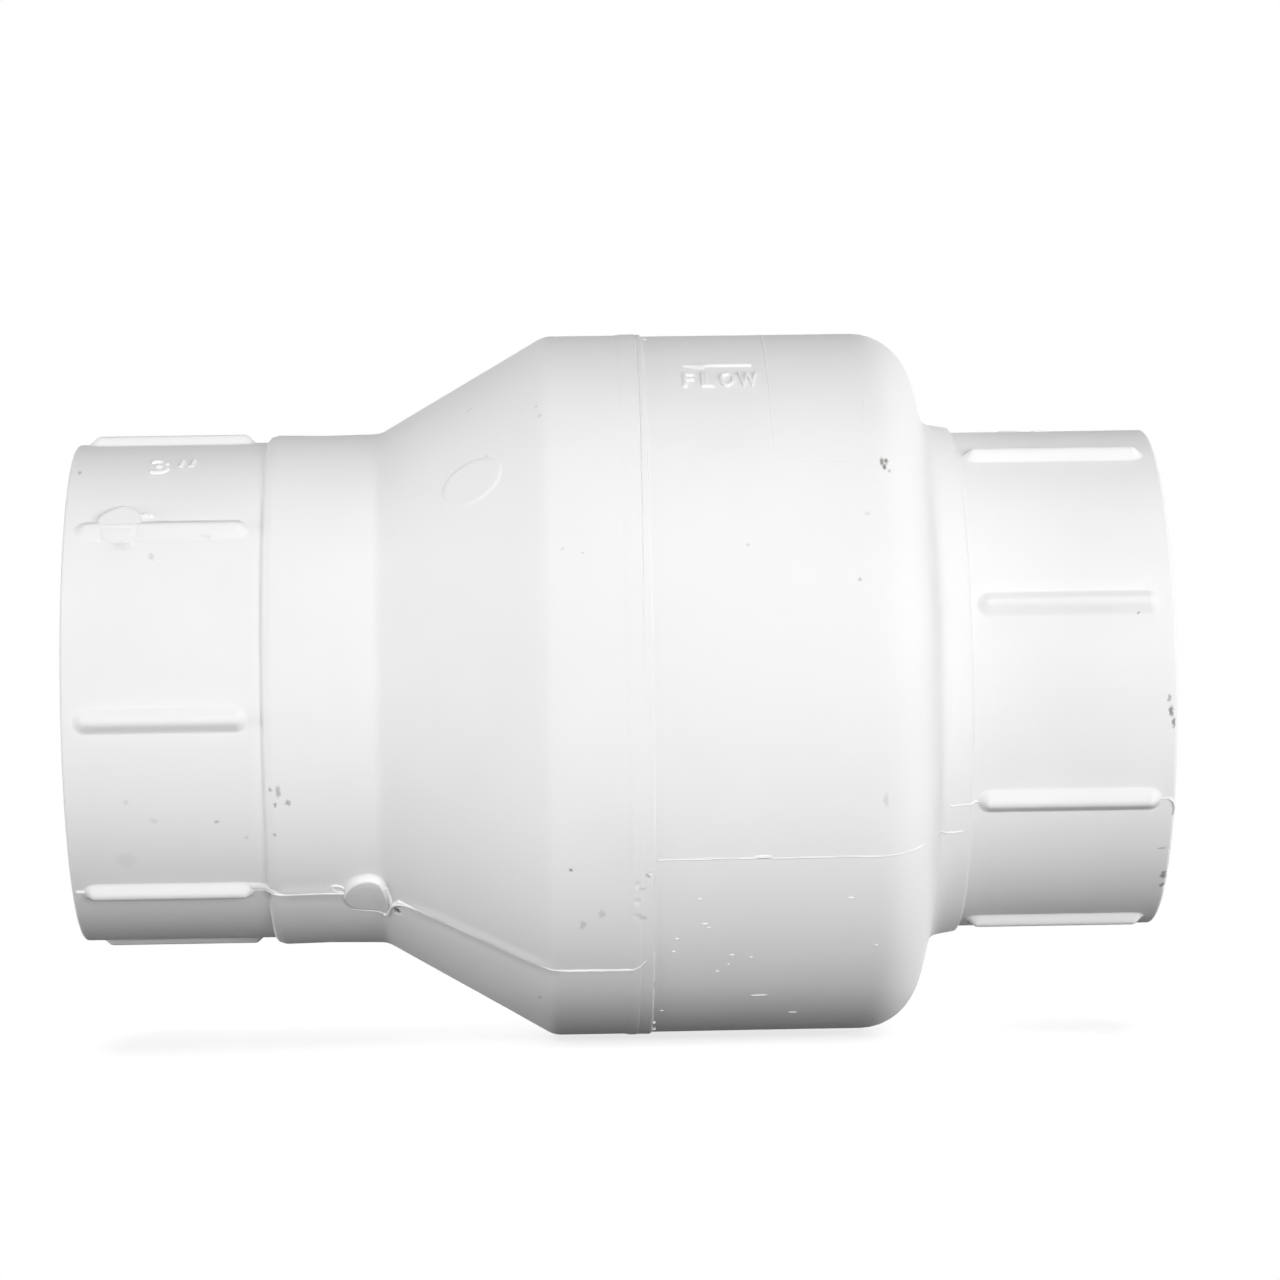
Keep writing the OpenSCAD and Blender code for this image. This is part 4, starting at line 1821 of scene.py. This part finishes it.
@dataclass
class Guide:
    """The spider, its bush and the washer under the spring, which keep their own forms.

    Attributes:
        spider: The spider's plastic.
        bush: The bush's plastic.
        washer: The washer's steel.
    """

    spider: PlainPlastic = PlainPlastic("guide_white", (0.80, 0.80, 0.785), (0.74, 0.74, 0.725), 0.42)
    bush: PlainPlastic = PlainPlastic("bush_ivory", (0.72, 0.66, 0.52), (0.66, 0.60, 0.46), 0.34, 0.01)
    washer: BrightSteel = BrightSteel("washer_steel", Lay.TURNED)

    def dress(self) -> None:
        """Gives the nodes their finishes."""
        finish_node("guide_spider", self.spider.build())
        finish_node("guide_bush", self.bush.build())
        finish_node("spring_seat_washer", self.washer.build())


def finish_node(name: str, material: bpy.types.Material) -> None:
    """Puts a material on a node in every slot it has.

    Args:
        name: The node's name.
        material: The finish.
    """
    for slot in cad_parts[name].material_slots:
        slot.material = material
    LOG.info("%s: finish %s", name, material.name)


@dataclass
class ClosingSpring:
    """The compression spring, as a round wire with a dead turn at each end.

    Attributes:
        start: Where its foot stands.
        length: Its length while the valve is shut.
        wire: The wire's thickness.
        coil: The coil's diameter at the middle of the wire.
        turns: How many turns it has.
        gap: The play at each end.
        open_share: What is left of its length while the valve is open. Not used.
        finish: The wire's steel.
    """

    start: float = 98.915
    length: float = 44.9
    wire: float = 2.0
    coil: float = 28.0
    turns: float = 7.5
    gap: float = 0.03
    open_share: float = 0.53
    finish: BrightSteel = BrightSteel(
        "spring_steel", Lay.DRAWN, (0.55, 0.54, 0.53), (0.40, 0.39, 0.385), 0.22
    )

    def path(self, turn: np.ndarray) -> np.ndarray:
        """Returns the middle of the wire after a number of turns.

        Args:
            turn: Turns from the foot.

        Returns:
            Points in millimetres.
        """
        dead = self.wire + 4 * self.gap
        pitch = (self.length - self.wire - 2 * self.gap - 2 * dead) / (self.turns - 2)
        rise = self.gap + self.wire / 2 + dead * np.minimum(turn, 1)
        rise = rise + pitch * np.clip(np.minimum(turn, self.turns - 1) - 1, 0, None)
        rise = rise + dead * np.clip(turn - self.turns + 1, 0, None)
        angle = 2 * math.pi * turn
        around = self.coil / 2
        return np.stack([self.start + rise, around * np.sin(angle), -around * np.cos(angle)], axis=-1)

    def build(self) -> None:
        """Makes the wire."""
        turn = np.linspace(0, self.turns, int(self.turns * 48) + 1)
        middle = self.path(turn)
        outward = middle * (0, 1, 1)
        outward /= np.linalg.norm(outward, axis=1, keepdims=True)
        along = np.array((1.0, 0.0, 0.0))
        rings = []
        for side in np.linspace(0, 2 * math.pi, 14, endpoint=False):
            rings.append(middle + self.wire / 2 * (outward * math.cos(side) + along * math.sin(side)))
        form = Form()
        form.add(*tube(np.stack(rings, axis=1), closed=False))
        piece = form.build("closing_spring_wire", self.finish.build())
        seat(piece, BODY, "spring_wire", "closing_spring")
        foot = (self.start * MM, 0, 0)
        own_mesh(piece)


@dataclass
class Poppet:
    """The disc, its seal and retainer, and the bolt that clamps them, which keep their own forms.

    Attributes:
        plastic: The disc's and the retainer's plastic.
        rubber: The rubber of both rings.
        steel: The steel of the bolt, its washers and its nut.
    """

    plastic: PlainPlastic = PlainPlastic("poppet_grey", (0.115, 0.118, 0.122), (0.085, 0.087, 0.09), 0.42)
    rubber: SealRubber = SealRubber()
    steel: BrightSteel = BrightSteel("turned_steel", Lay.TURNED)

    def dress(self) -> None:
        """Gives the nodes their finishes."""
        plastic, rubber, steel = self.plastic.build(), self.rubber.build(), self.steel.build()
        for name in ("poppet_disc", "seal_retainer"):
            finish_node(name, plastic)
        for name in ("seat_seal", "stem_o_ring"):
            finish_node(name, rubber)
        for name in ("stem_bolt", "head_washer", "nut_washer", "lock_nut"):
            finish_node(name, steel)


# The studio


@dataclass(frozen=True)
class Softbox:
    """A soft lamp that looks at the valve.

    Attributes:
        name: Its name.
        azimuth: Degrees from the front towards the inlet's side.
        height: Degrees above the pipe axis.
        width: Its width.
        depth: Its height, or for the top lamp its depth.
        share: How bright a white card that faces it becomes, where 1 is white.
    """

    name: str
    azimuth: float
    height: float
    width: float
    depth: float
    share: float


@dataclass
class Studio:
    """The camera, the floor and the light.

    Attributes:
        distance: How far the camera stands from the pipe axis.
        yaw: How far it stands round towards the outlet, in degrees.
        roll: How far it is tipped, in degrees.
        aim_x: Where it looks along the pipe.
        aim_z: How far above the pipe axis it looks.
        lens: Its focal length, on film 36 mm wide.
        floor_z: The floor's height.
        floor_r: The floor's radius.
        floor_x: The middle of the floor's shaded part.
        floor_fade: How far from there the shadow starts to fade, and is gone.
        paper: The floor's colour as the camera sees it.
        glow: The light that it adds there, so that it shows white.
        dark: Its colour for the light that it throws on the valve.
        sky: The world's light, from below and from above.
        lamp_distance: How far the lamps hang from the valve.
        lamps: The lamps.
    """

    distance: float = 951.0
    yaw: float = 1.4
    roll: float = 0.9
    aim_x: float = 113.5
    aim_z: float = 9.0
    lens: float = 130.8
    floor_z: float = -71.75
    floor_r: float = 250.0
    floor_x: float = 108.0
    floor_fade: tuple[float, float] = (150.0, 240.0)
    paper: float = 0.80
    glow: float = 0.70
    dark: float = 0.02
    sky: tuple[float, float] = (0.02, 0.06)
    lamp_distance: float = 1600.0
    lamps: tuple[Softbox, ...] = (
        Softbox("front_softbox", 24.0, 0.0, 1500, 300, 0.66),
        Softbox("raised_softbox", 24.0, 12.0, 1500, 300, 0.24),
        Softbox("fill_softbox", -24.0, 0.0, 1500, 300, 0.19),
        Softbox("left_softbox", -80.0, 0.0, 1200, 300, 0.46),
        Softbox("right_softbox", 100.0, 0.0, 900, 300, 0.40),
        Softbox("back_softbox", 180.0, 2.0, 1500, 300, 0.75),
        Softbox("top_softbox", 0.0, 90.0, 1500, 900, 0.38),
    )

    def build(self) -> None:
        """Makes the camera, the floor, the lamps and the world."""
        self.camera()
        self.floor()
        for lamp in self.lamps:
            self.hang(lamp)
        self.world()
        bpy.context.scene.view_settings.view_transform = "Standard"

    def camera(self) -> None:
        """Stands the camera where the photographer stood."""
        data = bpy.data.cameras.new("camera")
        data.lens = self.lens
        data.sensor_width = 36.0
        data.clip_start, data.clip_end = 0.05, 50.0
        made = linked("camera", data)
        yaw = math.radians(self.yaw)
        place = Vector((self.aim_x - self.distance * math.sin(yaw), -self.distance * math.cos(yaw), 0.0))
        aim = Vector((self.aim_x, 0.0, self.aim_z)) - place
        turn = aim.to_track_quat("-Z", "Y").to_matrix().to_4x4()
        tilt = Matrix.Rotation(math.radians(-self.roll), 4, "Z")
        made.matrix_world = Matrix.Translation(place * MM) @ turn @ tilt
        bpy.context.scene.camera = made

    def floor(self) -> None:
        """Lays a pale floor that shows white round the valve and keeps its shadow."""
        mesh = bpy.data.meshes.new("studio_floor")
        turns = np.linspace(0, 2 * math.pi, 96, endpoint=False)
        edge = [(self.aim_x + self.floor_r * math.cos(t), self.floor_r * math.sin(t)) for t in turns]
        corners = [(x * MM, y * MM, self.floor_z * MM) for x, y in edge]
        mesh.from_pydata(corners, [], [tuple(range(len(edge)))])
        material, bench, where = blank("floor_paper")
        mesh.materials.append(material)
        offset = bench.vector("SUBTRACT", where, (self.floor_x, 0.0, 0.0))
        far = bench.vector("LENGTH", offset, out="Value").ramp(*self.floor_fade)

        def coat(kind: str, grey: float) -> Wire:
            """Returns a shader in one grey."""
            return bench.node(kind, None, {"Color": (grey, grey, grey, 1)})

        paper = coat("ShaderNodeBsdfDiffuse", self.paper)
        glow = coat("ShaderNodeEmission", self.glow)
        near = bench.node("ShaderNodeAddShader", None, {0: paper, 1: glow})
        white = coat("ShaderNodeEmission", 1.0)
        seen = bench.node("ShaderNodeMixShader", None, {0: far, 1: near, 2: white})
        real = coat("ShaderNodeBsdfDiffuse", self.dark)
        both = bench.node("ShaderNodeMixShader", None, {0: bench.shown(), 1: real, 2: seen})
        bench.node("ShaderNodeOutputMaterial", None, {"Surface": both})
        linked("studio_floor", mesh)

    def hang(self, lamp: Softbox) -> None:
        """Hangs a lamp, which steel doesn't mirror.

        Args:
            lamp: The lamp.
        """
        data = bpy.data.lights.new(lamp.name, "AREA")
        data.shape = "RECTANGLE"
        data.size, data.size_y = lamp.width * MM, lamp.depth * MM
        data.energy = lamp.share * (math.pi * self.lamp_distance * MM) ** 2
        made = linked(lamp.name, data)
        side, rise = math.radians(lamp.azimuth), math.radians(lamp.height)
        way = Vector((math.sin(side) * math.cos(rise), -math.cos(side) * math.cos(rise), math.sin(rise)))
        spot = Vector((self.aim_x * MM, 0.0, 0.0)) + way * self.lamp_distance * MM
        made.matrix_world = Matrix.Translation(spot) @ way.to_track_quat("Z", "Y").to_matrix().to_4x4()
        made.visible_camera = False
        made.visible_glossy = False

    def world(self) -> None:
        """Sets a soft sky that is brighter above, and white where it is seen."""
        world = bpy.data.worlds.new("studio")
        bpy.context.scene.world = world
        bench = Bench(world)
        way = bench.node("ShaderNodeTexCoord", out="Generated")
        up = bench.node("ShaderNodeSeparateXYZ", None, {0: way}, "Z")
        low, high = ((grey,) * 3 for grey in self.sky)
        colour = bench.mix(bench.shown(), bench.mix(up.ramp(-0.1, 0.6), low, high), (1.0, 1.0, 1.0))
        light = bench.node("ShaderNodeBackground", None, {"Color": colour})
        bench.node("ShaderNodeOutputWorld", None, {"Surface": light})


# Dark specks in the outlet half's colour: grime and scuffs, and painted shade in the pit beside the gate
# and in the nicks of the band.
OUTLET_SPECKS = tuple(Speck(*row) for row in (
    (98.1, 29.8, 0.55, 0.75), (80.1, -61.3, 0.50, 0.55, 0.6), (79.4, -61.1, 0.45, 0.45, 0.5),
    (92.9, -50.9, 0.8, 0.30, 0.4), (93.5, -48.1, 0.7, 0.16), (83.1, -44.0, 0.8, 0.22, 0.6),
    (101.3, -20.8, 0.5, 0.28, 0.5), (97.5, -21.4, 0.4, 0.16), (43.6, 25.1, 0.75, 0.5),
    (41.7, 22.5, 0.7, 0.45, 2.4), (41.0, 25.6, 0.45, 0.6, 1.6), (40.6, 33.1, 0.5, 0.4),
    (104.0, 38.3, 0.9, 0.22, 1.6), (100.3, 40.6, 0.8, 0.24, 2.0), (91.9, 62.1, 0.6, 0.45),
    (29.5, 30.5, 0.60, 0.45), (17.3, 30.0, 0.9, 0.12), (12.1, 25.0, 0.8, 0.12),
    (35.2, 34.9, 0.6, 0.2), (11.3, 40.7, 2.6, 0.06), (2.2, -60.0, 0.45, 0.4, 2.2),
    (18.5, -41.0, 3.6, 0.16, 0.25), (11.5, -34.4, 2.4, 0.13, 0.5), (28.5, -36.8, 2.8, 0.12, 0.35),
    # The last speck on the next line is painted shade, with some grime, in the pit beside the gate.
    (17.6, -31.4, 0.9, 0.20, 1.2), (40.2, 22.0, 0.4, 0.45, 1.6), (63.9, 55.8, 1.05, 0.95),
    # The three specks on the next line are painted shade in the nicks of the band beside the seam.
    (112.9, 31.0, 0.7, 0.45, 0.6), (111.6, 33.3, 1.2, 0.22, 0.4), (111.6, 39.2, 1.6, 0.28, 0.35),
))

INLET_SPECKS = tuple(Speck(*row) for row in (
    (159.3, -36.6, 0.55, 0.75, 2.4), (160.1, -36.9, 0.45, 0.80, 2.2),
    (159.7, -35.6, 0.50, 0.80, 2.0), (160.6, -35.0, 0.30, 0.35, 2.0), (158.2, 18.8, 0.6, 0.16, 3.4),
    (214.9, 4.9, 0.45, 0.55, 2.2), (215.3, 7.8, 0.55, 0.75, 2.8), (215.8, 10.4, 0.55, 0.75, 2.6),
    (214.6, 42.3, 1.1, 0.45, 0.35), (215.9, 51.4, 0.95, 0.75, 1.8), (215.8, 55.6, 0.8, 0.65, 1.4),
    (132.8, -21.7, 0.45, 0.25), (153.8, -15.8, 0.5, 0.4), (155.9, -26.9, 0.6, 0.18),
    (201.8, -16.6, 0.5, 0.55), (209.3, -14.2, 0.45, 0.5),
))


def main() -> None:
    """Builds the valve's pieces in order, then the studio."""
    logging.basicConfig(level=logging.INFO, format="%(name)s %(message)s")
    outlet_skin, inlet_skin = Skin(outlet_corners(VALVE)), Skin(inlet_corners(VALVE))
    OutletHalf(MouldedShell("outlet_white", OUTLET_SPECKS, outlet_skin), outlet_skin).build()
    InletHalf(MouldedShell("inlet_white", INLET_SPECKS, inlet_skin), inlet_skin).build()
    Guide().dress()
    ClosingSpring().build()
    Poppet().dress()
    Studio().build()


if __name__ == "__main__":
    main()
